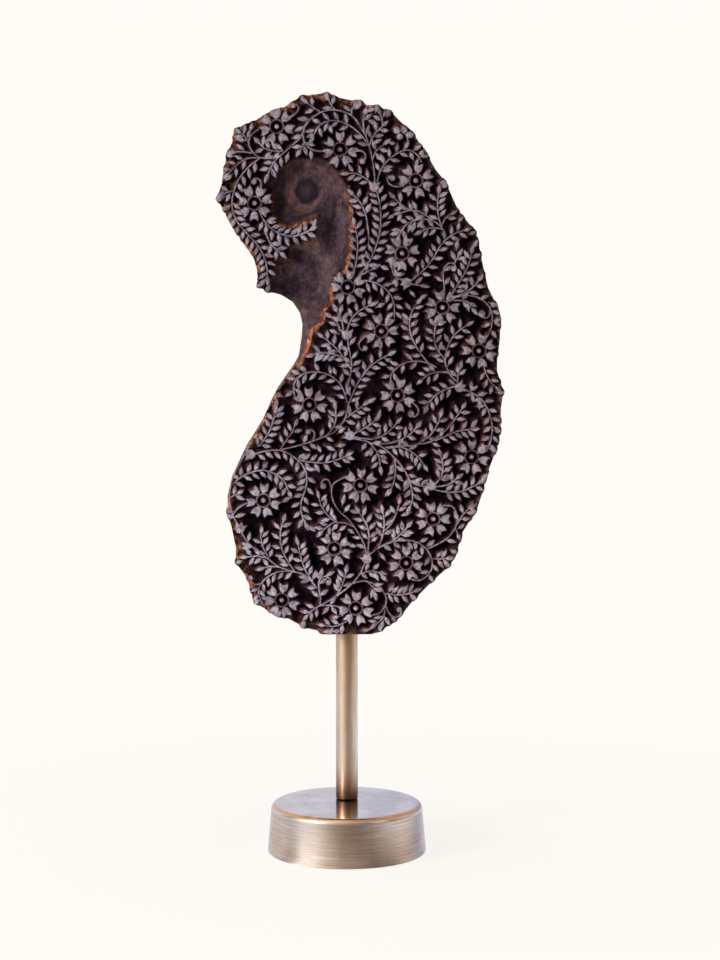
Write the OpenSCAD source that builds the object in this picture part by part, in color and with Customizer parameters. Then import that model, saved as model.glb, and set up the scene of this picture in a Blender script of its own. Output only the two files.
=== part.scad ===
// Carved wooden textile printing block on a turned brass display stand.
// +Z is up and the print face looks along -Y. The origin is on the base's
// underside, below the post's axis. All sizes are in millimetres.

/* [Block] */
// Width of the block's outline
block_w = 141.7; // [130:0.1:160]
// Height of the block's outline
block_h = 267.2; // [255:0.1:300]
// Thickness from the print face to the back
block_t = 34; // [30:1:46]
// Depth of the ground cut between the carved lines
ground_depth = 3; // [2:0.5:5]
// Depth of the bare recess inside the hook
recess_depth = 8; // [6:1:12]

/* [Carving] */
// Width of a carved stem
stem_w = 0.9; // [0.6:0.1:1.4]
// Length of a leaf on a stem
leaf_len = 4.7; // [3.5:0.1:5]
// Width of a leaf
leaf_w = 2.2; // [1.4:0.1:2.6]
// Angle between a leaf and its stem
leaf_angle = 42; // [30:1:60]
// Number of petals of a flower
petal_count = 7; // [6:1:8]
// Outer radius of the ring at a flower's centre
ring_r = 3.6; // [3:0.1:4.2]
// Width of that ring
ring_w = 0.7; // [0.5:0.1:1]
// Radius of the dot inside the ring
dot_r = 1.1; // [0.8:0.1:1.6]
// Radius of a flower over its petal tips
flower_r = 8.6; // [7.5:0.1:9.5]
// Width of a petal
petal_w = 4; // [3:0.1:4.4]

/* [Handle] */
// Length of the grip between its tabs
handle_len = 120; // [105:1:140]
// Width of the handle
handle_w = 26; // [22:1:34]
// Height of the grip above the block's back
handle_h = 36; // [32:1:45]
// Thickness of the grip bar
grip_t = 15; // [12:1:17]
// Length of each foot under the grip
foot_len = 18; // [14:1:24]
// Length of the tab that each end is screwed down by
tab_len = 17; // [15:1:24]
// Thickness of the tabs
tab_t = 10; // [8:1:14]
// Radius of the rounded corners of the grip
grip_r = 8; // [4:1:10]
// Distance of the handle from the post's axis, to the right
handle_x = 12; // [6:1:18]
// Height of the handle's middle above the block's foot
handle_up = 127; // [118:1:140]
// Shank diameter of the handle's screws
wood_screw_d = 4; // [3:0.5:5]
// Head diameter of the handle's screws
wood_head_d = 8; // [7:0.5:9]
// Length of the handle's screws
wood_screw_len = 22; // [18:1:23]
// Distance between the two screws of a tab
wood_screw_gap = 13; // [11:0.5:16]

/* [Stand] */
// Diameter of the base at its lower edge
base_d = 79.4; // [74:0.2:100]
// How much narrower the base is at its upper edge, before rounding
base_taper = 3.6; // [1:0.2:5]
// Height of the base
base_h = 25.2; // [21:0.1:30]
// How far the base's middle stands in front of the post's axis
base_forward = 8.6; // [0:0.1:10]
// Radius of the base's upper edge
edge_r = 3; // [1.5:0.5:4]
// Wall of the base's cover
cover_wall = 1.5; // [1:0.1:2]
// Gap between the cover's lower edge and the table
rim_lift = 0.6; // [0.3:0.1:1]
// Diameter of the post
post_d = 11; // [10:0.5:14]
// Wall of the post's tube
post_wall = 1.2; // [0.8:0.1:1.6]
// Length of the post above the base
post_len = 85.4; // [70:0.2:140]
// Thickness of the felt pad
felt_t = 2; // [1.5:0.1:3]
// Thickness of the plate under the base
plate_t = 1.5; // [1:0.1:2.5]
// Diameter of the bolt that holds the post
bolt_d = 6; // [5:1:7]
// Head diameter of that bolt
bolt_head_d = 10; // [9:0.5:12]
// Head height of that bolt
bolt_head_h = 4; // [3:0.5:5]
// Diameter of the bolt's washer
washer_d = 16; // [14:1:20]
// Thickness of the bolt's washer
washer_t = 1.5; // [1:0.1:2]
// Length of the plug in the post's lower end
plug_len = 20; // [16:1:26]
// Length of the bolt's thread in that plug
bolt_grip = 14; // [10:1:15]
// Number of screws that hold the plate
plate_screw_count = 3; // [3:1:6]
// Diameter of the plate's screws
plate_screw_d = 3; // [2.5:0.5:4]
// Head diameter of the plate's screws
plate_head_d = 5; // [4.5:0.5:7]
// Length of the plate's screws
plate_screw_len = 9; // [7:1:11]
// Radius of the circle of the plate's screws
plate_screw_ring = 27; // [24:1:30]

/* [Swivel] */
// Diameter of the spigot's journal inside the post
journal_d = 6; // [5:0.5:7]
// Length of that journal
journal_len = 16; // [12:1:24]
// Diameter of the spigot's pin inside the block
pin_d = 6; // [5:0.5:7]
// Length of the pin above the flange
pin_len = 46; // [35:1:52]
// Thickness of the flange that carries the block
flange_t = 1; // [0.8:0.1:2]
// Wall of the sleeve in the block
sleeve_wall = 1.2; // [0.8:0.1:2]
// Wall under the journal in the top bush
bush_floor = 2; // [1.5:0.5:4]
// Room above the pin in the block
pin_room = 3; // [2:0.5:6]

/* [Fits] */
// Radial clearance of the pieces that turn or slide
run_gap = 0.05; // [0.03:0.01:0.1]
// Radial clearance of the pieces that are fitted once
fit_gap = 0.03; // [0.02:0.01:0.06]
// Radial room around the iron weight
weight_gap = 0.3; // [0.2:0.1:0.6]

/* [Hidden] */
$fn = 64;

// Heights of the stand, from the table up
plate_z = felt_t;
weight_z = plate_z + plate_t;
weight_top = base_h - cover_wall;
post_top = base_h + post_len;
block_foot = post_top + flange_t;

// Planes of the block, from the print face back
face_y = -block_t / 2;
ground_y = face_y + ground_depth;
recess_y = face_y + recess_depth;
back_y = block_t / 2;
sink = 0.5;

// Radii of the turned pieces
base_r = base_d / 2;
base_top_r = base_r - base_taper / 2;
cover_in_r = base_top_r - cover_wall;
weight_r = cover_in_r - weight_gap;
tube_in_r = post_d / 2 - post_wall;
plug_r = tube_in_r - fit_gap;
bolt_r = bolt_d / 2;
bolt_hole_r = bolt_r + fit_gap;
journal_r = journal_d / 2;
pin_r = pin_d / 2;
sleeve_in_r = pin_r + run_gap;
sleeve_r = sleeve_in_r + sleeve_wall;
sleeve_len = pin_len + pin_room;

// Room around the bolt's head and past its end
bolt_room = 1;

// Counterbore of the weight, which takes the bolt's head and washer
well_r = washer_d / 2 + bolt_room;
washer_z = weight_z + bolt_head_h + bolt_room;
well_depth = washer_z + washer_t - weight_z;

// Handle and its screws
handle_z = block_foot + handle_up;
tab_mid = handle_len / 2 + tab_len / 2;

// The drawing of the print face: [x, z] in millimetres on a block of this size
drawn_w = 141.7;
drawn_h = 267.2;
drawn_foot = 113.5;

// Outline of the block, clockwise from the top; leaf tips are its corners
outline = [
  [-9.3, 380.7], [-4.5, 378.5], [2.5, 376.9], [7.2, 376.8], [10, 374.8], [15.4, 374.6], [18.7, 372.5],
  [21.6, 371.9], [28.4, 365], [33, 361], [40, 350.4], [44, 343.2], [48.6, 337.8], [50, 335], [55, 324],
  [58, 319.8], [63.5, 313.3], [65.5, 306], [67.8, 294.7], [70, 285.5], [74, 277.8], [76, 270],
  [75.9, 260], [74.6, 250], [74.6, 245], [77.7, 234.4], [76.6, 226], [76.4, 215], [74.4, 205.5],
  [69.9, 193.5], [67, 182], [64.4, 175], [58, 164.5], [55, 154.5], [51.5, 147.5], [42.7, 139.6],
  [33, 129.6], [29, 124.5], [24.7, 120], [17.5, 115], [12, 113.5], [-12.3, 113.5], [-15.2, 115],
  [-22, 116.5], [-25, 118.6], [-30, 121.3], [-34, 122], [-38.5, 124.4], [-46, 129], [-48.6, 137],
  [-50, 141.5], [-55.5, 149.5], [-55.5, 157], [-57.5, 167], [-59.7, 175], [-58.9, 182.5], [-56.5, 193],
  [-50.5, 205.4], [-42.8, 217.6], [-38.4, 227.5], [-35, 234.2], [-27, 245.7], [-24.4, 250.5], [-22.8, 260],
  [-22.4, 267], [-23.6, 272.5], [-27, 277.6], [-32.5, 281], [-39, 282.9], [-44.2, 285.6], [-44, 292.5],
  [-46, 299.5], [-54, 311.5], [-58.6, 320], [-64, 328.6], [-61, 335.6], [-60, 344.5], [-58.8, 350.5],
  [-56.3, 356.5], [-54.6, 363], [-45, 367], [-36.3, 371.8], [-31, 373.5], [-22, 379.2], [-14.5, 380]];

// The recess: along the carved edge from the hook's tip to the waist, then out past the block's edge
recess = [
  [-43.6, 285.8], [-38.6, 286.2], [-35.3, 290], [-33.6, 299.6], [-27, 298], [-26.6, 305], [-20, 307.4],
  [-14.4, 310.8], [-13.2, 316], [-14.8, 320], [-22, 317.6], [-27, 316.4], [-33, 317.8], [-35.8, 320.5],
  [-35.4, 331], [-37, 336.4], [-32, 342.5], [-25, 347], [-14, 347.5], [-8.6, 344.8], [-3.4, 338.5],
  [-0.5, 333.6], [1.2, 318], [0.3, 302], [-2, 294.5], [-6.5, 292], [-9, 284], [-8.5, 279], [-13.5, 275],
  [-12.2, 270], [-18.5, 264.5], [-20.5, 257], [-23, 250.5], [-30, 246], [-42, 258], [-47, 283]];

// Flowers: [x, z, direction of one petal]
flowers = [
  [-33.8, 363.8, -9], [-3, 352.7, -10], [-44.7, 326.7, 14], [33.9, 337.7, -26], [27.3, 302.3, 13],
  [0.6, 285.8, 29], [-18.2, 228, -12], [47, 275.9, 0], [17.1, 264.3, 0], [65, 254.6, 26],
  [25.1, 232.8, 24], [-41, 180.7, 32], [6.8, 188.2, 35], [-6, 156.7, 30], [-32.1, 131, 32],
  [4.5, 126.9, 33], [61.6, 202.3, 34], [42.8, 171.4, 0], [29.5, 149.5, 36]];

// Buds: [x, z, direction of the opening lobes]
buds = [
  [13.6, 334.6, 90], [29.4, 288, 200], [0.3, 262.4, 90], [1.6, 213, 150], [55.6, 236.6, 20],
  [-47.4, 203.6, 180], [-52.6, 166.8, 70], [10, 151.6, 120], [41.8, 188, 150]];

// Knobs at the ends of curls: [x, z, radius]
knobs = [
  [-25.9, 374, 1.3], [-45, 337.1, 1.2], [7.8, 347, 1.4], [22.3, 338.9, 1.3], [52.4, 294.9, 1.4],
  [66.3, 272.8, 1.7], [-18.7, 214.9, 1.3], [31.8, 223.5, 1.5], [9.2, 255.9, 1.3], [-9, 139.7, 1.2],
  [-11.4, 187.8, 1.4], [26, 126.2, 1.3], [-47.7, 142, 1.4], [24.6, 362, 1.8], [28, 362.2, 1.7],
  [26, 358.9, 1.6], [30.6, 359.8, 1.6], [47.6, 335.8, 1.6], [20.4, 370.8, 1.4]];

// Sprays: [points of the stem, leaves on its left, leaves on its right,
// share of the stem before the first leaf, length of the leaf at its tip]
top_sprays = [
  [[[14, 337], [13, 346], [11, 355], [8, 362], [3, 368.8], [-4, 371.6], [-11, 371.2], [-17, 367.7],
    [-20, 364], [-22, 359], [-26, 355], [-30, 351.5], [-34, 349], [-40, 348.5], [-44.5, 350.5],
    [-47.3, 355], [-46.3, 359.5], [-42.5, 362.6]], 0, 0, 0, 0],
  [[[11, 354.5], [7, 360], [2, 364], [-4, 366.5], [-9, 366.3], [-13, 364.3], [-15.7, 360]], 4, 5, .38, 5],
  [[[-20.3, 364], [-20.9, 359], [-19.5, 355], [-15.5, 352.3], [-10, 351.8]], 1, 1, .3, 0],
  [[[-20.2, 356], [-22, 353]], 1, 1, .2, 4.6],
  [[[-30.5, 351], [-34, 348], [-36.5, 344.5], [-38, 341]], 3, 2, .1, 4.6],
  [[[-42, 348.8], [-48, 348.4], [-52, 346.2], [-55, 343.6], [-57, 341.4]], 2, 3, .35, 4.6],
  [[[-46, 351], [-50, 351.6], [-53.5, 351.6]], 0, 0, 0, 4.6],
  [[[-47.5, 356], [-49.3, 359], [-51, 360.6]], 2, 2, .1, 4.4],
  [[[-30.5, 352], [-35, 352], [-39.5, 353.2], [-42, 355.6]], 3, 3, .08, 4.2],
  [[[-42, 348.5], [-47, 344.8], [-51, 340.3], [-54, 335], [-55.6, 329]], 5, 0, .08, 0],
  [[[-55.6, 329], [-55.4, 323.5], [-53, 317.5], [-48.2, 311.8], [-43.5, 306.6], [-40.5, 301.5],
    [-38.9, 296], [-38.7, 291.5]], 11, 12, .03, 4.8],
  [[[-54.8, 333], [-58.5, 331.8]], 0, 1, .3, 4.4],
  [[[-42.5, 323.5], [-40.5, 319], [-36, 314], [-31, 311.5], [-26, 310.7], [-21, 312], [-18, 313.6]],
    7, 7, .2, 4.2],
  [[[-39.5, 317], [-38.7, 311], [-36.5, 306.5], [-32.5, 303]], 1, 2, .55, 4.8],
  [[[-13, 371.2], [-16, 373], [-18.6, 375]], 1, 1, .25, 4.4],
  [[[-5.2, 371.6], [-7.2, 374], [-8.2, 376]], 1, 1, .2, 4.2],
  [[[2.7, 369], [2.7, 372.2], [3.6, 373.6]], 1, 1, .3, 3.8],
  [[[8.8, 361], [8.2, 366], [8.8, 369.3]], 0, 1, .45, 4],
  [[[11.3, 354.5], [12.5, 358], [15, 361.5], [17.3, 363.6]], 2, 2, .25, 4.4],
  [[[17.8, 364.5], [17.4, 367.5], [16.6, 369.8]], 1, 1, .3, 4],
  [[[12.8, 348], [14.5, 352], [17.8, 354.8]], 1, 1, .4, 5],
  [[[15, 337], [16, 341], [18.5, 345.5], [22, 349], [26.5, 351.8], [31, 352.3], [34.8, 349.8],
    [36.6, 346.5]], 7, 5, .14, 0],
  [[[27.8, 352.8], [29.8, 356.2], [29.2, 359.4], [27.4, 361]], 0, 0, 0, 0],
  [[[13, 336], [9, 339], [5, 341], [1.6, 341.2]], 3, 3, .12, 4.6],
  [[[-27.6, 368.2], [-24.4, 370.3], [-23.1, 372.8], [-24.4, 374.8]], 0, 0, 0, 0],
  [[[-41.6, 333.5], [-41.6, 337.2], [-43.4, 338.6], [-45.4, 338.2]], 0, 0, 0, 0],
  [[[4, 351.8], [7.2, 352.1], [9.4, 350.2], [9, 347.4]], 0, 0, 0, 0],
  [[[28.2, 335.2], [24.5, 334.7], [21.3, 335.8], [20.1, 338.2], [21.2, 339.8]], 0, 0, 0, 0]];

middle_sprays = [
  [[[5, 289.5], [8, 293.5], [11.3, 298.5], [14.2, 305], [16.2, 312], [16.8, 320], [16.2, 327],
    [14.6, 333]], 10, 10, .14, 0],
  [[[2.8, 291], [4.6, 297], [5.4, 303.5], [5.3, 310], [4.2, 316]], 5, 6, .12, 4.4],
  [[[11, 305], [10.8, 312], [9.7, 320], [7.5, 326], [4, 330.3]], 3, 3, .55, 4.6],
  [[[46.5, 315], [44.8, 321], [44.4, 327], [45, 331.3]], 3, 4, .2, 4.4],
  [[[47, 314.5], [43, 317.8], [38, 319], [33, 318.3], [29, 316], [26.5, 312.5], [25.3, 309.5]],
    3, 3, .35, 0],
  [[[42, 318.5], [37, 322], [32, 323.3], [27, 322.3]], 1, 3, .1, 4.8],
  [[[31, 323.3], [27.3, 325.6], [23.8, 328.8]], 2, 1, .3, 4.6],
  [[[47.5, 313.8], [44.5, 314.6], [40.5, 314.6], [37, 313.3]], 2, 2, .25, 4.4],
  [[[46.4, 316], [48.4, 319.4], [50.5, 321]], 0, 1, .3, 4.2],
  [[[31, 288.5], [35, 291.7], [39, 295.5], [42.5, 300], [45.2, 305], [48.5, 309], [53, 312],
    [57, 313.4]], 9, 7, .12, 4.8],
  [[[31, 287.3], [35.5, 286.8]], 1, 0, .4, 5.2],
  [[[51.5, 282.3], [55, 288], [58.2, 293.5], [60.2, 298.5], [61, 302]], 6, 5, .1, 4.4],
  [[[47.8, 280], [47.8, 286], [47.3, 290.5], [47.7, 294.6], [49.8, 297.3], [52.4, 297.3],
    [53.6, 295.4]], 1, 1, .25, 0],
  [[[52.8, 297.6], [54.4, 300.6]], 1, 1, .2, 4.6],
  [[[51.4, 280.4], [58, 281.8], [63, 281.2], [67, 279.3], [70, 276], [70.4, 273], [68.7, 270.8],
    [66.2, 271.4]], 0, 0, 0, 0],
  [[[70.2, 276], [71.4, 272], [71, 266.5], [69, 261.6]], 3, 1, .06, 0],
  [[[53.5, 281.3], [58, 283], [62, 286], [64.4, 288.8]], 2, 2, .3, 4.2],
  [[[51.6, 279.4], [57.5, 279.2], [60, 278.2]], 1, 2, .45, 4.2],
  [[[6, 289], [12, 288.7], [17, 286.5], [21, 283], [23.2, 278], [23.4, 271]], 7, 5, .14, 0],
  [[[7.5, 292], [12, 294.3]], 1, 1, .35, 5.4],
  [[[28.5, 289.5], [24.5, 290.5], [22.8, 293], [21.8, 297.5]], 1, 2, .1, 0],
  [[[-1.5, 265], [-2.3, 270], [-4.4, 273.6]], 1, 2, .35, 4.2],
  [[[0.5, 265], [2, 269.5], [6, 274], [11, 276.7]], 4, 3, .12, 5],
  [[[-3, 264.5], [-4.5, 268.5], [-7.2, 271]], 1, 1, .2, 4.2],
  [[[2, 246], [-1.5, 251.5], [-5, 256], [-9, 259.5], [-11, 261]], 3, 4, .2, 4.6],
  [[[1.2, 239], [2, 243], [2.5, 249], [1, 257], [0.6, 260.5]], 3, 3, .1, 0],
  [[[1.8, 242], [1.1, 239.6]], 0, 0, 0, 4.2],
  [[[-2, 251.5], [-7, 253.2], [-12, 253.7], [-15.6, 253]], 4, 2, .2, 4.4],
  [[[0.5, 229], [-1.5, 235.5], [-4.5, 240], [-9, 243], [-15, 244.3], [-21, 243.3], [-25, 239.8],
    [-25.8, 235.5], [-25.2, 232]], 8, 7, .03, 0],
  [[[-43, 207.6], [-39, 213], [-36.5, 218.5], [-35.2, 223.6]], 4, 5, .1, 4.6],
  [[[-33, 205.5], [-30, 210], [-27, 214], [-25.6, 217.4]], 3, 2, .2, 4.4],
  [[[-17, 209.8], [-15.6, 212.4], [-16.2, 215], [-18.4, 216]], 0, 0, 0, 0],
  [[[-32, 206], [-25, 207.6], [-18, 209.7], [-11, 212.3], [-6, 214.5]], 2, 2, .35, 0],
  [[[-6, 214.5], [-1, 220.5], [0.8, 227.5], [3.5, 234.5], [7, 241], [11.5, 246.8], [17, 250.8],
    [20, 252.4]], 6, 7, .4, 4.6],
  [[[-0.5, 221.5], [3.5, 224.3], [8, 227.6]], 2, 3, .15, 4.8],
  [[[-10, 212.8], [-6.8, 216.5], [-5.2, 221], [-5.4, 225.2]], 3, 2, .2, 4.6],
  [[[3, 212.3], [8, 211.5], [13, 211.2], [18, 213], [22, 216], [24.2, 218.6]], 3, 3, .5, 4.4],
  [[[2.5, 213.3], [6, 215], [10.5, 217.5], [13.6, 220]], 3, 3, .2, 4.4],
  [[[44, 246.5], [40, 248.6], [34.5, 249.6], [29, 248.8], [25, 246.5], [22, 243], [21.6, 239]],
    3, 3, .3, 0],
  [[[40, 248.8], [36.5, 253.3], [33.8, 257.5], [31.5, 263], [30.9, 269], [32.5, 275], [34, 277.3]],
    6, 6, .12, 4.6],
  [[[54.5, 239.3], [51, 242.8], [49, 247], [47.8, 251], [44.8, 254.8], [43.2, 260], [43.3, 265],
    [44.4, 269.5]], 6, 5, .33, 0],
  [[[48.4, 249.6], [49.3, 255.5], [51.5, 260.5], [55, 264.5], [58.5, 266.8]], 4, 3, .2, 4.6],
  [[[54.6, 239.5], [54.6, 243.5]], 1, 1, .5, 4.4],
  [[[53.5, 237.3], [49, 235.8], [44.5, 233.3], [41, 229.8], [39.9, 227.6]], 4, 4, .1, 4.4],
  [[[50.2, 244], [45, 244.2], [40.5, 243], [37.5, 240.8]], 2, 2, .3, 4.2],
  [[[57.5, 236], [63, 233.3], [67, 229.8], [69.5, 225.5], [71.2, 220.5], [71.6, 215], [70.8, 210],
    [69, 205.6]], 8, 7, .06, 0],
  [[[67, 248], [68.5, 243.5], [70.7, 239.3], [73, 237]], 2, 3, .15, 4.2],
  [[[32, 229.6], [35, 226.6], [35.2, 223.8], [33.2, 222]], 0, 0, 0, 0],
  [[[10.4, 262.6], [6.5, 259], [6.7, 255.9], [8.6, 254.6]], 0, 0, 0, 0]];

lower_sprays = [
  [[[15, 208.6], [22, 209.3], [27, 211], [31.5, 213.8], [34.2, 216.6]], 3, 3, .45, 4.4],
  [[[19, 207], [26, 207.8], [33, 208], [38, 210.5], [42, 214], [45, 219], [46, 222]], 3, 3, .58, 4.6],
  [[[36, 208.6], [41, 209.8], [46, 213], [51, 218], [55, 223.5], [56.5, 226]], 2, 2, .72, 4.4],
  [[[40, 209.5], [47, 211.8], [54, 214.9], [61, 216]], 3, 5, .25, 4.6],
  [[[2.8, 211.6], [6.6, 210.8], [10.5, 209.8], [14, 206.3], [16, 202], [16.5, 198]], 3, 3, .42, 4.6],
  [[[10.8, 209.6], [17, 207.5], [22, 203.5], [27, 198], [30.5, 192], [32.2, 186], [32.5, 181],
    [31.5, 178]], 5, 3, .6, 4.4],
  [[[23.7, 201.5], [24.2, 196], [23.3, 190], [22.2, 187]], 3, 3, .2, 4.4],
  [[[20, 206.6], [26, 207.3], [31, 205.5], [35.5, 202], [37.7, 199]], 3, 5, .2, 4.6],
  [[[31.2, 190.6], [35, 188.5], [40.5, 187.6]], 1, 1, .5, 0],
  [[[43.5, 188.5], [46.8, 193], [47.5, 198], [46.6, 202.3]], 3, 4, .2, 4.2],
  [[[43.5, 187.5], [50, 188.5], [54, 191.4]], 1, 1, .7, 4.2],
  [[[43.4, 186], [50.5, 184.8], [56.5, 185.3], [62, 187.5], [64.6, 189]], 4, 5, .2, 4.4],
  [[[46.6, 178], [52, 177.8], [54.5, 173.5], [54.3, 169], [52, 164.5], [48, 160.7], [40, 156.6]],
    0, 0, 0, 0],
  [[[54.3, 168.5], [57, 173], [60, 176.4]], 2, 2, .15, 4.2],
  [[[53.6, 167], [54.8, 164.4]], 0, 0, 0, 3.6],
  [[[10.4, 154], [11.1, 163], [9.8, 169], [6.6, 174.2]], 3, 4, .3, 4.4],
  [[[15.6, 156.6], [18, 164], [18.6, 170], [17.9, 174.6]], 3, 3, .3, 4.4],
  [[[21.6, 159.8], [26, 163.3], [29.6, 167]], 3, 2, .12, 4.6],
  [[[18.4, 165.6], [21.5, 168.5], [24.5, 174], [25.8, 178.6]], 1, 1, .6, 4.4],
  [[[9.8, 153], [9.1, 157.7], [7.4, 161.6], [4.2, 167], [0.9, 171.4], [-2.7, 174.5], [-5.5, 178.2],
    [-7.1, 182.3], [-7.3, 186.4], [-5.6, 189.8], [1.4, 193.2]], 0, 0, 0, 0],
  [[[-7.4, 187], [-8.6, 190.5], [-11, 191.1], [-12.5, 189]], 0, 0, 0, 0],
  [[[3.6, 167.7], [-0.5, 169.5], [-5, 170], [-8.2, 172.3], [-10.5, 175], [-12.7, 178.6],
    [-13.4, 181.6]], 4, 5, .3, 4.4],
  [[[-5.5, 170.2], [-9.5, 167.7], [-11.8, 165.6]], 1, 2, .3, 4.2],
  [[[-46, 203.4], [-41, 205], [-35, 205.7], [-30, 204.8], [-25.5, 202], [-22, 198.8]], 0, 5, .15, 0],
  [[[-22, 198.8], [-20, 195], [-19.6, 190], [-20.5, 185.5], [-22.3, 180], [-22.3, 174.5],
    [-20.4, 169.8]], 6, 7, .05, 4.4],
  [[[-24, 200.8], [-18, 199.8], [-11, 199.4], [-5, 200.8], [-0.5, 202.7]], 6, 5, .06, 4.6],
  [[[-55.6, 189.2], [-52, 192.3], [-46.5, 194.8], [-41, 195.7], [-35.5, 194], [-31, 190.6],
    [-28.6, 185.5]], 8, 7, .12, 4.2],
  [[[-57.4, 182.2], [-54, 183.9]], 1, 1, .35, 3.8],
  [[[-56, 173.6], [-53, 177.3], [-47.6, 180]], 0, 0, 0, 0],
  [[[-47.6, 208], [-52, 200.3], [-55.3, 194], [-57.2, 187], [-57.7, 181], [-56.3, 174.3], [-53.6, 168.5]],
    0, 0, 0, 0],
  [[[-15.2, 137.6], [-18.5, 141.8], [-22.5, 144.3], [-28, 145.8], [-33.5, 147.7], [-38, 151],
    [-43, 155], [-48, 159], [-51.8, 164.6]], 1, 1, .78, 0],
  [[[-38.2, 151.6], [-41.2, 157.5], [-42.3, 162.5], [-42.2, 164]], 2, 3, .15, 4.4],
  [[[-25.5, 145.2], [-29, 150.5], [-31.5, 155.5], [-32.7, 161], [-32.4, 166.5], [-31.4, 169.8]],
    5, 5, .12, 4.4],
  [[[-17, 140.6], [-20.3, 146], [-22.5, 152], [-23.7, 158]], 4, 5, .08, 5],
  [[[-25, 145], [-30, 145.6], [-35, 144.7], [-39.5, 142.2], [-42.8, 138.5], [-43.6, 134.5],
    [-41.8, 129.4]], 7, 0, .04, 0],
  [[[-33.2, 147.6], [-38, 147.8], [-40.5, 147.2]], 1, 1, .4, 4.6],
  [[[-39.2, 152], [-44, 153], [-48.6, 152.6]], 2, 2, .2, 4.6],
  [[[-42.3, 139.3], [-45.3, 138.9], [-47.4, 140.8]], 0, 0, 0, 0],
  [[[-13.2, 128], [-13, 133], [-13.8, 138], [-13, 141.6], [-10.5, 142.9], [-8.2, 141.6],
    [-7.9, 139.7]], 2, 1, .12, 0],
  [[[-14, 127.8], [-8.5, 130.8], [-3, 134.5], [2.5, 139], [6.5, 144], [9.4, 150.4]], 0, 0, 0, 0],
  [[[-13.5, 128.2], [-17, 125.8], [-19.2, 123.6]], 2, 2, .1, 4.2],
  [[[-13, 128.2], [-9, 128.4], [-4.5, 127.8], [-1, 126.6]], 1, 2, .25, 0],
  [[[-4.5, 133.8], [-2, 138.7], [-0.8, 143], [-0.5, 144.4]], 3, 2, .25, 4.6],
  [[[2.6, 139.2], [8, 140.6], [13, 139.4], [17.3, 136.5], [19.6, 132], [18.8, 127.5], [15.8, 124.3],
    [11, 123.2]], 0, 0, 0, 0],
  [[[10.5, 140], [13.5, 137], [14, 135]], 1, 1, .3, 4.2],
  [[[7, 144.3], [11.5, 145.6], [15.5, 145]], 2, 2, .2, 4.4],
  [[[10, 152.8], [15, 156.5], [21, 159.6], [28, 161], [34.5, 160], [39, 157], [41.8, 152.5],
    [42.3, 147.8], [40.5, 144], [36.5, 141], [31.8, 141.4]], 0, 6, .2, 0],
  [[[41.8, 151.8], [46, 151.6], [49, 151.8]], 2, 2, .2, 4.2],
  [[[19.2, 134.3], [25, 133.6], [30, 134.1], [33, 135.1]], 4, 3, .15, 4.6],
  [[[19.2, 128.4], [21, 124.6], [23.6, 122.6], [26.3, 123.2], [27.2, 125.4]], 0, 0, 0, 0],
  [[[0, 120.4], [-4, 118.4], [-8, 117.8], [-10.5, 118.2]], 2, 2, .12, 4.2],
  [[[19, 126], [18.2, 122.6], [15.8, 119.8], [14.6, 118.8]], 1, 2, .2, 4]];

// A point of the drawing on the block, as [x, z]
function placed(p) =
  [p[0] * block_w / drawn_w, (p[1] - drawn_foot) * block_h / drawn_h + block_foot];

// Points on a smooth curve through p, with `steps` to each span
function spline_at(a, b, c, d, t) =
  0.5 * (2 * b + (c - a) * t + (2 * a - 5 * b + 4 * c - d) * t * t
    + (3 * b - a - 3 * c + d) * t * t * t);
function smooth(p, steps) =
  let (last = len(p) - 1)
  [for (i = [0 : last - 1]) for (k = [0 : steps - (i == last - 1 ? 0 : 1)])
    spline_at(p[max(i - 1, 0)], p[i], p[i + 1], p[min(i + 2, last)], k / steps)];

// Direction of a line at its point i, and the lengths along it
function heading(p, i) =
  let (d = p[min(i + 1, len(p) - 1)] - p[max(i - 1, 0)]) d / norm(d);
function lengths(p) =
  [for (i = 0, s = 0; i < len(p); s = s + (i + 1 < len(p) ? norm(p[i + 1] - p[i]) : 0), i = i + 1) s];
function across(d) = [-d[1], d[0]];

// Place and direction at length s along a line
function point_at(p, along, s) =
  [for (axis = [0, 1]) lookup(s, [for (i = [0 : len(p) - 1]) [along[i], p[i][axis]]])];
function turn_at(p, along, s) =
  let (d = point_at(p, along, s + stem_w) - point_at(p, along, s - stem_w)) atan2(d[1], d[0]);

// A pointed leaf that starts at p and points in direction a
module leaf(p, a, length) {
  belly = 0.42 * length;
  half = leaf_w / 2;
  translate(p) rotate(a) polygon([[0, 0], [belly, half], [length, 0], [belly, -half]]);
}

// A stem with its leaves
module spray(s) {
  stem_steps = 2;
  first_leaf = [0.15, 0.45];
  line = smooth([for (p = s[0]) placed(p)], stem_steps);
  along = lengths(line);
  total = along[len(along) - 1];
  count = len(line);
  polygon(concat(
    [for (i = [0 : count - 1]) line[i] + across(heading(line, i)) * stem_w / 2],
    [for (i = [count - 1 : -1 : 0]) line[i] - across(heading(line, i)) * stem_w / 2]));
  for (side = [0, 1]) {
    leaves = s[1 + side];
    for (k = [0 : 1 : leaves - 1]) {
      place = total * (s[3] + (1 - s[3]) * (k + first_leaf[side]) / leaves);
      leaf(point_at(line, along, place), turn_at(line, along, place) + leaf_angle * (1 - 2 * side),
           leaf_len);
    }
  }
  if (s[4] > 0)
    leaf(line[count - 1] - heading(line, count - 1) * stem_w, turn_at(line, along, total),
         s[4] + stem_w);
}

// Outline of a petal with two tips and a notch: shares of its length and of half its width
petal_shape = [
  [0, -0.3], [0.5, -1], [1, -0.9], [0.82, 0], [1, 0.9], [0.5, 1], [0, 0.3]];

// A petal along +X from the flower's ring
module petal() {
  root = ring_r - ring_w / 2;
  polygon([for (p = petal_shape) [root + p[0] * (flower_r - root), p[1] * petal_w / 2]]);
}

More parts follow.
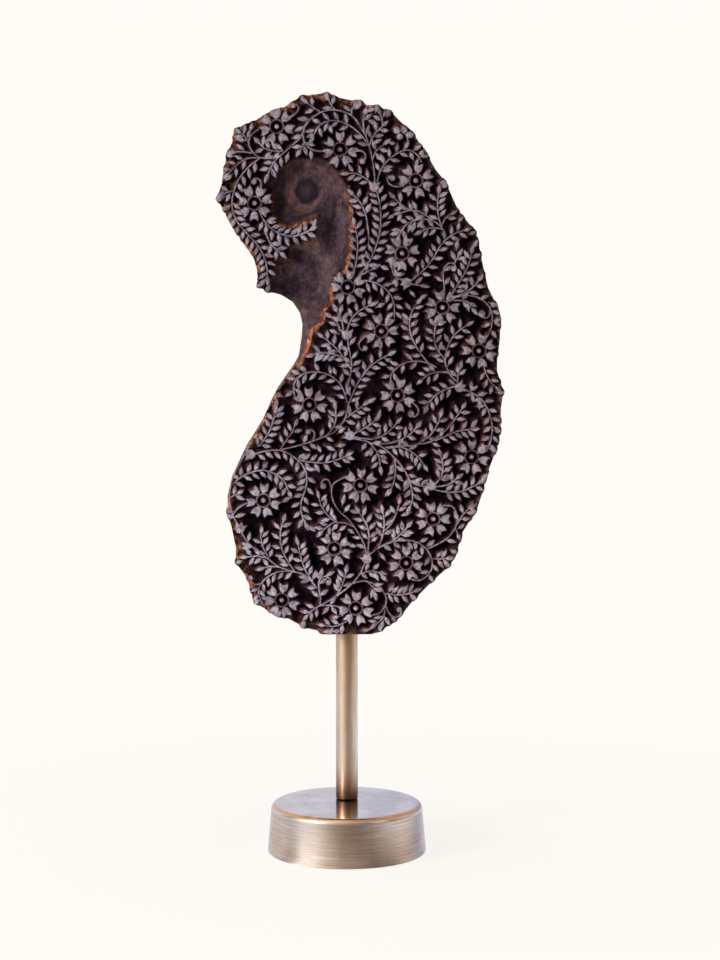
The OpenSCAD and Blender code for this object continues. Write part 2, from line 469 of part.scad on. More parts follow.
module flower(f) {
  translate(placed(f)) rotate(f[2]) {
    difference() {
      circle(ring_r);
      circle(ring_r - ring_w);
    }
    circle(dot_r);
    for (k = [0 : petal_count - 1]) rotate(k * 360 / petal_count) petal();
  }
}

// Outline of a bud along +X: a narrow foot and three lobes
bud_shape = [
  [-2.4, -0.8], [-1, -2.2], [1, -2.4], [2.6, -3], [1.8, -1.1], [3.2, 0], [1.8, 1.1], [2.6, 3],
  [1, 2.4], [-1, 2.2], [-2.4, 0.8]];

module bud(b) {
  translate(placed(b)) rotate(b[2]) polygon(bud_shape);
}

module carving() {
  for (s = top_sprays) spray(s);
  for (s = middle_sprays) spray(s);
  for (s = lower_sprays) spray(s);
  for (f = flowers) flower(f);
  for (b = buds) bud(b);
  for (k = knobs) translate(placed(k)) circle(k[2]);
}

// A shape of the drawing as a plate from plane y towards the print face
module plate(y, depth) {
  translate([0, y, 0]) rotate([90, 0, 0]) linear_extrude(depth) children();
}

// Places of the handle's screws on the block's back
module at_wood_screws() {
  for (x = [-1, 1] * wood_screw_gap / 2) for (z = [-1, 1] * tab_mid)
    translate([handle_x + x, back_y, handle_z + z]) children();
}

// The base's own axis, in front of the post's
module at_base() {
  translate([0, -base_forward, 0]) children();
}

// Places of the plate's screws under the base, the first one at its front
module at_plate_screws() {
  at_base() for (k = [0 : plate_screw_count - 1])
    rotate(k * 360 / plate_screw_count) translate([0, -plate_screw_ring, plate_z]) children();
}

// A countersunk screw along -Z with its head's flat at the origin, grown by gap
module countersunk(shank_r, head_r, length, gap = 0) {
  head_h = head_r - shank_r;
  translate([0, 0, -length - gap]) cylinder(r = shank_r + gap, h = length + gap);
  translate([0, 0, -head_h]) cylinder(r1 = shank_r + gap, r2 = head_r + gap, h = head_h);
}

module wood_screw(gap = 0) {
  translate([0, tab_t, 0]) rotate([-90, 0, 0])
    countersunk(wood_screw_d / 2, wood_head_d / 2, wood_screw_len, gap);
}

module printing_block() {
  color("saddlebrown") {
    difference() {
      plate(back_y, block_t - ground_depth) polygon([for (p = outline) placed(p)]);
      plate(recess_y, recess_depth + sink) polygon([for (p = recess) placed(p)]);
      translate([0, 0, block_foot - sink]) cylinder(r = sleeve_r + fit_gap, h = sleeve_len + sink);
      at_wood_screws() wood_screw(fit_gap);
    }
    plate(ground_y + sink, ground_depth + sink) carving();
  }
}

module socket_sleeve() {
  color("darkgoldenrod") translate([0, 0, block_foot]) difference() {
    cylinder(r = sleeve_r, h = sleeve_len);
    translate([0, 0, -sink]) cylinder(r = sleeve_in_r, h = sleeve_len + 2 * sink);
  }
}

// Side view of the handle: x runs up the block, y away from its back
module handle_profile() {
  half = handle_len / 2;
  gap_half = half - foot_len;
  gap_h = handle_h - grip_t;
  gap_r = min(grip_r, gap_h / 2);
  difference() {
    union() {
      translate([-half - tab_len, 0]) square([handle_len + 2 * tab_len, tab_t]);
      translate([-half, 0]) square([handle_len, handle_h - grip_r]);
      translate([-half + grip_r, 0]) square([handle_len - 2 * grip_r, handle_h]);
      for (side = [-1, 1]) translate([side * (half - grip_r), handle_h - grip_r]) circle(grip_r);
    }
    translate([-gap_half, -sink]) square([2 * gap_half, gap_h - gap_r + sink]);
    translate([-gap_half + gap_r, -sink]) square([2 * (gap_half - gap_r), gap_h + sink]);
    for (side = [-1, 1]) translate([side * (gap_half - gap_r), gap_h - gap_r]) circle(gap_r);
  }
}

module block_handle() {
  color("sienna") difference() {
    translate([handle_x - handle_w / 2, back_y, handle_z]) rotate([0, 90, 0])
      linear_extrude(handle_w) handle_profile();
    at_wood_screws() wood_screw(fit_gap);
  }
}

module handle_screws() {
  color("goldenrod") at_wood_screws() wood_screw();
}

module swivel_spigot() {
  chamfer = 1;
  color("darkgoldenrod") translate([0, 0, post_top]) {
    translate([0, 0, -journal_len]) cylinder(r = journal_r, h = journal_len);
    cylinder(d = post_d, h = flange_t);
    translate([0, 0, flange_t]) cylinder(r = pin_r, h = pin_len - chamfer);
    translate([0, 0, flange_t + pin_len - chamfer])
      cylinder(r1 = pin_r, r2 = pin_r - chamfer, h = chamfer);
  }
}

module top_bush() {
  length = journal_len + bush_floor;
  color("peru") translate([0, 0, post_top - length]) difference() {
    cylinder(r = plug_r, h = length);
    translate([0, 0, bush_floor]) cylinder(r = journal_r + run_gap, h = length);
  }
}

module post_tube() {
  color("darkgoldenrod") translate([0, 0, base_h]) difference() {
    cylinder(d = post_d, h = post_len);
    translate([0, 0, -sink]) cylinder(r = tube_in_r, h = post_len + 2 * sink);
  }
}

module foot_plug() {
  color("peru") translate([0, 0, base_h]) difference() {
    cylinder(r = plug_r, h = plug_len);
    translate([0, 0, -sink]) cylinder(r = bolt_hole_r, h = bolt_grip + bolt_room + sink);
  }
}

module base_bolt() {
  color("silver") {
    translate([0, 0, washer_z]) cylinder(r = bolt_r, h = base_h + bolt_grip - washer_z);
    translate([0, 0, washer_z - bolt_head_h]) cylinder(d = bolt_head_d, h = bolt_head_h, $fn = 6);
  }
}

module bolt_washer() {
  color("lightgray") translate([0, 0, washer_z]) difference() {
    cylinder(d = washer_d, h = washer_t);
    translate([0, 0, -sink]) cylinder(r = bolt_hole_r, h = washer_t + 2 * sink);
  }
}

// Half section of the cover: a tapered side, a rounded upper edge and a flat top
module cover_section() {
  rounding = 8;
  centre = [base_top_r - edge_r, base_h - edge_r];
  polygon(concat(
    [[base_r - cover_wall, rim_lift], [base_r, rim_lift]],
    [for (k = [0 : rounding]) centre + edge_r * [cos(k * 90 / rounding), sin(k * 90 / rounding)]],
    [[0, base_h], [0, base_h - cover_wall], [cover_in_r, base_h - cover_wall]]));
}

module base_cover() {
  color("darkgoldenrod") difference() {
    at_base() rotate_extrude() cover_section();
    translate([0, 0, weight_top - sink]) cylinder(r = bolt_hole_r, h = cover_wall + 2 * sink);
  }
}

module base_weight() {
  color("dimgray") difference() {
    at_base() translate([0, 0, weight_z]) cylinder(r = weight_r, h = weight_top - weight_z);
    translate([0, 0, weight_z - sink]) cylinder(r = well_r, h = well_depth + sink);
    translate([0, 0, weight_z]) cylinder(r = bolt_hole_r, h = base_h);
    at_plate_screws() plate_screw(fit_gap);
  }
}

module plate_screw(gap = 0) {
  mirror([0, 0, 1]) countersunk(plate_screw_d / 2, plate_head_d / 2, plate_screw_len, gap);
}

module base_plate() {
  color("slategray") difference() {
    at_base() translate([0, 0, plate_z]) cylinder(r = weight_r, h = plate_t);
    at_plate_screws() plate_screw(fit_gap);
  }
}

module plate_screws() {
  color("silver") at_plate_screws() plate_screw();
}

module felt_pad() {
  color("darkgreen") at_base() cylinder(r = weight_r, h = felt_t);
}

printing_block();
socket_sleeve();
block_handle();
handle_screws();
swivel_spigot();
top_bush();
post_tube();
foot_plug();
base_bolt();
bolt_washer();
base_cover();
base_weight();
base_plate();
plate_screws();
felt_pad();
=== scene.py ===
# Looks of the carved printing block and its brass stand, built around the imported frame
import bpy
import bmesh
import math
import random
import numpy as np
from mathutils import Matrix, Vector, kdtree, noise
from mathutils.geometry import delaunay_2d_cdt


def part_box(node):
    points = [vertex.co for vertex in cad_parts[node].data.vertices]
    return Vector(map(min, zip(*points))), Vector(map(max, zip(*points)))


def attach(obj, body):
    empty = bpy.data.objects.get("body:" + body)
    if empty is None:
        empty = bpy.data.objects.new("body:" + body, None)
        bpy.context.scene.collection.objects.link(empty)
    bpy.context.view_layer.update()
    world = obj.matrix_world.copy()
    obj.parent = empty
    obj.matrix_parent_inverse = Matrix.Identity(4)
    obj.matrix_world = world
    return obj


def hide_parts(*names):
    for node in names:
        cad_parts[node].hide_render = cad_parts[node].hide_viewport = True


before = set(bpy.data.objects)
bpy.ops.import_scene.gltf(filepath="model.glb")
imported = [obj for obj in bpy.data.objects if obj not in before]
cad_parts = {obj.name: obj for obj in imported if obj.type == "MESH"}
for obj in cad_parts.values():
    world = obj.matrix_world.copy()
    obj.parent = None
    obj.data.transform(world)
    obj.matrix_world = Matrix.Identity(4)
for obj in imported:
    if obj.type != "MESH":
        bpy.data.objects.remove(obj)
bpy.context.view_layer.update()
mm = 0.001
scene = bpy.context.scene
scene.view_settings.view_transform = "Standard"
print("frame loaded:", len(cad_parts), "nodes")


# shader nodes

def linear(r, g, b):  # colour written as 0-255 display values
    return tuple(((c / 255 + 0.055) / 1.055) ** 2.4 if c > 10 else c / 3294.6 for c in (r, g, b)) + (1,)


def newMaterial(name, color, rough, metal=0.0):
    mat = bpy.data.materials.new(name)
    mat.use_nodes = True
    shader = mat.node_tree.nodes["Principled BSDF"]
    shader.inputs["Base Color"].default_value = linear(*color)
    shader.inputs["Roughness"].default_value = rough
    shader.inputs["Metallic"].default_value = metal
    mat.diffuse_color = linear(*color)
    return mat, mat.node_tree, shader


def addNode(tree, kind, settings=None, **values):
    node = tree.nodes.new("ShaderNode" + kind)
    for key, value in (settings or {}).items():
        setattr(node, key, value)
    for key, value in values.items():
        node.inputs[key].default_value = value
    return node


def join(tree, source, target, out=0, into=0):
    tree.links.new(source.outputs[out], target.inputs[into])
    return target


def setSocket(tree, socket, part):  # part is another socket, a number or a colour
    if isinstance(part, (int, float, tuple)):
        socket.default_value = part
    else:
        tree.links.new(part, socket)


def grey(value):  # a ramp stop that holds a plain number
    return (value, value, value, 1)


def addRamp(tree, source, stops, smooth=False):
    ramp = addNode(tree, "ValToRGB")
    ramp.color_ramp.interpolation = "EASE" if smooth else "LINEAR"
    elements = ramp.color_ramp.elements
    while len(elements) < len(stops):
        elements.new(0.5)
    for element, (place, color) in zip(elements, stops):
        element.position = place
        element.color = linear(*color) if len(color) == 3 else color
    tree.links.new(source, ramp.inputs[0])
    return ramp.outputs[0]


def roughRamp(tree, source, low, high):
    return addRamp(tree, source, [(0.3, grey(min(1, low))), (0.7, grey(high))])


def addRange(tree, source, low, high, newLow=0.0, newHigh=1.0):
    node = addNode(tree, "MapRange", {"clamp": True})
    for key, value in (("From Min", low), ("From Max", high), ("To Min", newLow), ("To Max", newHigh)):
        node.inputs[key].default_value = value
    tree.links.new(source, node.inputs[0])
    return node.outputs[0]


def addMath(tree, operation, a, b):
    node = addNode(tree, "Math", {"operation": operation})
    setSocket(tree, node.inputs[0], a)
    setSocket(tree, node.inputs[1], b)
    return node.outputs[0]


def times(tree, first, *others):
    for other in others:
        first = addMath(tree, "MULTIPLY", first, other)
    return first


def mixColor(tree, share, a, b, blend="MIX"):
    node = addNode(tree, "Mix", {"data_type": "RGBA", "blend_type": blend})
    for i, part in ((0, share), (6, a), (7, b)):  # factor and the two colour sockets
        setSocket(tree, node.inputs[i], part)
    return node.outputs[2]


def tinted(tree, color, share, source, stops):  # multiplies a colour by a ramp
    return mixColor(tree, share, color, addRamp(tree, source, stops), "MULTIPLY")


def axes(tree, kind="Object"):  # sockets of x, y and z
    return join(tree, addNode(tree, "TexCoord"), addNode(tree, "SeparateXYZ"), kind).outputs


def addNoise(tree, scale, detail=4.0, rough=0.55, stretch=(1, 1, 1), distortion=0.0):
    mapping = join(tree, addNode(tree, "TexCoord"), addNode(tree, "Mapping", Scale=stretch), "Object")
    node = addNode(tree, "TexNoise", Scale=scale, Detail=detail, Roughness=rough, Distortion=distortion)
    return join(tree, mapping, node).outputs[0]


def vertexShare(tree, name):  # a number stored on the mesh's points
    return addNode(tree, "Attribute", {"attribute_name": name}).outputs["Fac"]


def dress(tree, shader, color, rough=None):
    tree.links.new(color, shader.inputs["Base Color"])
    if rough:
        tree.links.new(rough, shader.inputs["Roughness"])


def addBump(tree, shader, height, strength, distance):
    bump = addNode(tree, "Bump", Strength=strength, Distance=distance)
    tree.links.new(height, bump.inputs["Height"])
    tree.links.new(bump.outputs[0], shader.inputs["Normal"])


# meshes

def meshObject(name, verts, faces, mats, faceMats=None, body=None, smoothAngle=None):
    mesh = bpy.data.meshes.new(name)
    mesh.from_pydata([tuple(v) for v in verts], [], faces)
    for mat in mats:
        mesh.materials.append(mat)
    if faceMats is not None:
        mesh.polygons.foreach_set("material_index", np.array(faceMats, np.int32))
    mesh.validate()
    work = bmesh.new()
    work.from_mesh(mesh)
    bmesh.ops.remove_doubles(work, verts=work.verts, dist=1e-7)
    bmesh.ops.recalc_face_normals(work, faces=work.faces)
    work.to_mesh(mesh)
    work.free()
    if smoothAngle is not None:
        shadeSmooth(mesh, smoothAngle)
    obj = bpy.data.objects.new(name, mesh)
    scene.collection.objects.link(obj)
    if body:
        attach(obj, body)
    return obj


def shadeSmooth(mesh, angle):
    mesh.shade_smooth()
    mesh.set_sharp_from_angle(angle=math.radians(angle))


def applyModifiers(obj):
    graph = bpy.context.evaluated_depsgraph_get()
    solid = bpy.data.meshes.new_from_object(obj.evaluated_get(graph))
    obj.modifiers.clear()
    old = obj.data
    obj.data = solid
    bpy.data.meshes.remove(old)


def cutOut(obj, cutter):  # takes the cutter's room out of the piece
    cut = obj.modifiers.new("cut", "BOOLEAN")
    cut.object = cutter
    cut.solver = "MANIFOLD"
    applyModifiers(obj)
    bpy.data.objects.remove(cutter)


def lathe(name, profile, mats, body, matOf=None, turns=128, smoothAngle=35):
    verts, faces, faceMats = [], [], []
    count = len(profile)
    for k in range(turns):
        a = 2 * math.pi * k / turns
        verts += [(r * mm * math.cos(a), r * mm * math.sin(a), z * mm) for r, z in profile]
    for k in range(turns):
        here, there = k * count, (k + 1) % turns * count
        for i in range(count):
            j = (i + 1) % count
            faces.append((here + i, there + i, there + j, here + j))
            faceMats.append(matOf[i] if matOf else 0)
    return meshObject(name, verts, faces, mats, faceMats, body, smoothAngle)


def movePoints(obj, x, y, z):  # moves a piece's points, in millimetres
    for v in obj.data.vertices:
        v.co += Vector((x, y, z)) * mm


def arc(cx, cz, radius, start, end, steps):
    angles = [math.radians(start + (end - start) * k / steps) for k in range(steps + 1)]
    return [(cx + radius * math.cos(a), cz + radius * math.sin(a)) for a in angles]


# the print face: everything here is in millimetres, x to the right and z up

block = {
    "faceY": -17.0,  # print face
    "backY": 17.0,
    "footZ": 113.5,  # flat foot, as drawn below
    "footClear": 1.0,  # height over the foot where the rim is not cut back
    "drop": 113.5 - round(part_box("printing_block")[0][2] / mm, 3),  # from the drawn foot to the real one
    "sideStep": 0.8,  # point spacing along the outline
    "rimInset": 0.14,  # front rim inside the outline
    "rimNotch": 0.6,  # how far the rim is cut back between leaves
    "notchFrom": 0.75,  # distance from a leaf where that begins
    "notchWidth": 1.3,
    "rimRise": 0.68,  # share by which the ground comes up at the rim
    "rimRiseReach": 1.1,
    "rimClear": 0.75,  # no ground points closer to the rim
    "reliefInset": 0.2,  # carving kept inside the outline
    "groundDepth": 3.6,  # deepest ground between the carved lines
    "groundStep": 1.25,  # point spacing of the ground
    "groundRow": 0.87,  # between its rows, as a share of that
    "groundShake": 0.2,  # how far its points are moved, as a share of that
    "groundClear": 1.2,  # between the carving and the ground's own points
    "wallSlope": 4.0,
    "wallSteps": (0.42, 0.28, 0.18),  # points on the walls, the widest that the gap allows
    "wallRoom": 0.8,  # share of a step that has to be free
    "wallGap": 0.26,
    "wallFoot": (1.0, 0.85, 0.55),  # one more row: step, least distance, gap
    "topRound": 0.28,  # rounded edge of the carved tops
    "roundWidth": 0.45,
    "topSteps": (0.45, 0.24),  # points on the tops, the second for narrow stems
    "topRoom": 0.75,
    "topGaps": (0.3, 0.16),
    "topPower": 1.5,  # how the rounding falls off
    "edgeStep": 0.88,  # point spacing along the carved edges
    "sampleStep": 0.2,  # the same where distances are measured
    "recessDepth": 8.0,
    "recessReach": 1.6,  # how far the recess runs in under the carved tips
    "recessStep": 0.9,
    "recessWall": 1.2,  # width of its wall
    "recessEven": 5.0,  # further from the wall the floor needs fewer points
    "recessThin": 3,  # one point in three is kept there
    "chisel": ((0.35, 2.6, 1.5), (0.2, 1.1, 7.5)),  # uneven ground: height, size, seed
    "recessTear": (0.4, 1.8, 4.0),
    "recessWaves": (0.3, 9, 2.5),
    "worn": (0.12, 7, 9.5),  # low spots of the printing surface
    "sideWaves": (1.0, 6, 3.5),
    "sideWave": 0.12,
    "rimBack": 0.8,  # from the front rim back to the full outline
    "sideRings": ((0.4, -2.0), (0.42, 15.6), (0.95, 17.0)),  # inset and y, to the worn rear edge
    "litFrom": (-0.75, 0.66),  # side from which the key light comes; walls facing it get painted light
    "rimLitFrom": (-0.95, 0.31),  # the same for the outer rim
    "wallLit": (0.1, -1.2),  # how that share falls off round the recess: level, slope
    # how the painted light falls off round the rim: level, slope
    "rimLit": (0.58, 0.75),
    # how far each kind of wood, and each painted light and shade, reaches from its line
    "reach": {"flowerRing": 0.45, "rim": 1.5, "dullRim": 1.2, "chips": 1.15, "wallFoot": 1.8},
    "sleeveRadius": 4.28,
    "sleeveLength": 49.0,
    "boreFrom": 100.0,  # the sleeve's bore is cut from below the foot
    "sharp": 38,  # degrees between faces that show as an edge
}

carving = {
    "stemWidth": 0.6,
    "leafLength": 5.45,  # with its stalk
    "leafWidth": 1.96,
    "leafAngle": 52.0,
    "leafLengths": (0.95, 1.04),  # uneven by hand: shares and degrees
    "leafWidths": (0.92, 1.06),
    "leafTurns": (-4, 4),
    "singleStalk": 0.1,  # added to a single leaf's length
    "tipBack": 0.8,  # how far a spray's tip leaf overlaps its stem
    "tipExtra": 1.0,  # added to its length
    "tipLength": 4.4,  # leaves that end in the outline's corners
    "tipTurn": 7.0,  # degrees of turn that make a corner
    "firstLeaf": (0.15, 0.45),  # left and right leaves alternate
    "ringRadius": 3.6,
    "ringWidth": 0.5,
    "dotRadius": 1.05,
    "flowerRadius": 8.7,
    "petalWidth": 4.3,
    "petals": 7,
    "petalLengths": (0.94, 1.04),
    "petalWidths": (0.93, 1.05),
    "petalTurns": (-3, 3),
    "ringSteps": 40,
    "dotSteps": 18,
    "knobSteps": 20,
    "shortEdge": 0.12,  # shorter carved edges are merged
}

# half outlines along a leaf, a petal and a bud: share of the length, share of half the width
leafShape = [(0, .14), (.16, .18), (.27, .58), (.42, .96), (.54, 1), (.68, .84), (.85, .46), (1, 0)]
petalShape = [(0, .16), (.1, .24), (.2, .6), (.36, .84), (.56, .96), (.78, 1), (1, .9), (.87, .46), (.79, 0)]
budShape = [(-2.4, .8), (-1, 2.2), (1, 2.4), (2.6, 3), (1.8, 1.1), (3.2, 0)]

outline = [
    [-9.3, 380.7], [-4.5, 378.5], [2.5, 376.9], [7.2, 376.8], [10, 374.8], [15.4, 374.6], [18.7, 372.5],
    [21.6, 371.9], [28.4, 365], [33, 361], [40, 350.4], [44, 343.2], [48.6, 337.8], [50, 335], [55, 324],
    [58, 319.8], [63.5, 313.3], [65.5, 306], [67.8, 294.7], [70, 285.5], [74, 277.8], [76, 270],
    [75.9, 260], [74.6, 250], [74.6, 245], [77.7, 234.4], [76.6, 226], [76.4, 215], [74.4, 205.5],
    [69.9, 193.5], [67, 182], [64.4, 175], [58, 164.5], [55, 154.5], [51.5, 147.5], [42.7, 139.6],
    [33, 129.6], [29, 124.5], [24.7, 120], [17.5, 115], [12, 113.5], [-12.3, 113.5], [-15.2, 115],
    [-22, 116.5], [-25, 118.6], [-30, 121.3], [-34, 122], [-38.5, 124.4], [-46, 129], [-48.6, 137],
    [-50, 141.5], [-55.5, 149.5], [-55.5, 157], [-57.5, 167], [-59.7, 175], [-58.9, 182.5], [-56.5, 193],
    [-50.5, 205.4], [-42.8, 217.6], [-38.4, 227.5], [-35, 234.2], [-27, 245.7], [-24.4, 250.5], [-22.8, 260],
    [-22.4, 267], [-23.6, 272.5], [-27, 277.6], [-32.5, 281], [-39, 282.9], [-44.2, 285.6], [-44, 292.5],
    [-46, 299.5], [-54, 311.5], [-58.6, 320], [-64, 328.6], [-61, 335.6], [-60, 344.5], [-58.8, 350.5],
    [-56.3, 356.5], [-54.6, 363], [-45, 367], [-36.3, 371.8], [-31, 373.5], [-22, 379.2], [-14.5, 380]]

# bare recess inside the hook, out past the waist of the block
recess = [
    [-43.6, 285.8], [-38.6, 286.2], [-35.3, 290], [-33.6, 299.6], [-27, 298], [-26.6, 305], [-20, 307.4],
    [-14.4, 310.8], [-13.2, 316], [-14.8, 320], [-22, 317.6], [-27, 316.4], [-33, 317.8], [-35.8, 320.5],
    [-35.4, 331], [-37, 336.4], [-32, 342.5], [-25, 347], [-14, 347.5], [-8.6, 344.8], [-3.4, 338.5],
    [-0.5, 333.6], [1.2, 318], [0.3, 302], [-2, 294.5], [-6.5, 292], [-9, 284], [-8.5, 279], [-13.5, 275],
    [-12.2, 270], [-18.5, 264.5], [-20.5, 257], [-23, 250.5], [-30, 246], [-42, 258], [-47, 283]]

# x, z, direction of one petal
flowers = [
    [-33.8, 363.8, -9], [-3, 352.7, -10], [-44.7, 326.7, 14], [33.9, 337.7, -26], [27.3, 302.3, 13],
    [0.6, 285.8, 29], [-18.2, 228, -12], [47, 275.9, 0], [17.1, 264.3, 0], [65, 254.6, 26],
    [25.1, 232.8, 24], [-41, 180.7, 32], [6.8, 188.2, 35], [-6, 156.7, 30], [-32.1, 131, 32],
    [4.5, 126.9, 33], [61.6, 202.3, 34], [42.8, 171.4, 0], [29.5, 149.5, 36]]

# x, z, direction of the opening lobes
buds = [
    [13.6, 334.6, 90], [29.4, 288, 200], [0.3, 262.4, 90], [1.6, 213, 150], [55.6, 236.6, 20],
    [-47.4, 203.6, 180], [-52.6, 166.8, 70], [10, 151.6, 120], [41.8, 188, 150]]

# x, z, radius of the knobs that end the curls
knobs = [
    [-25.9, 374, 1.3], [-45, 337.1, 1.2], [7.8, 347, 1.4], [22.3, 338.9, 1.3], [52.4, 294.9, 1.4],
    [66.3, 272.8, 1.7], [-18.7, 214.9, 1.3], [31.8, 223.5, 1.5], [9.2, 255.9, 1.3], [-9, 139.7, 1.2],
    [-11.4, 187.8, 1.4], [26, 126.2, 1.3], [-47.7, 142, 1.4], [24.6, 362, 1.8], [28, 362.2, 1.7],
    [26, 358.9, 1.6], [30.6, 359.8, 1.6], [47.6, 335.8, 1.6], [20.4, 370.8, 1.4]]

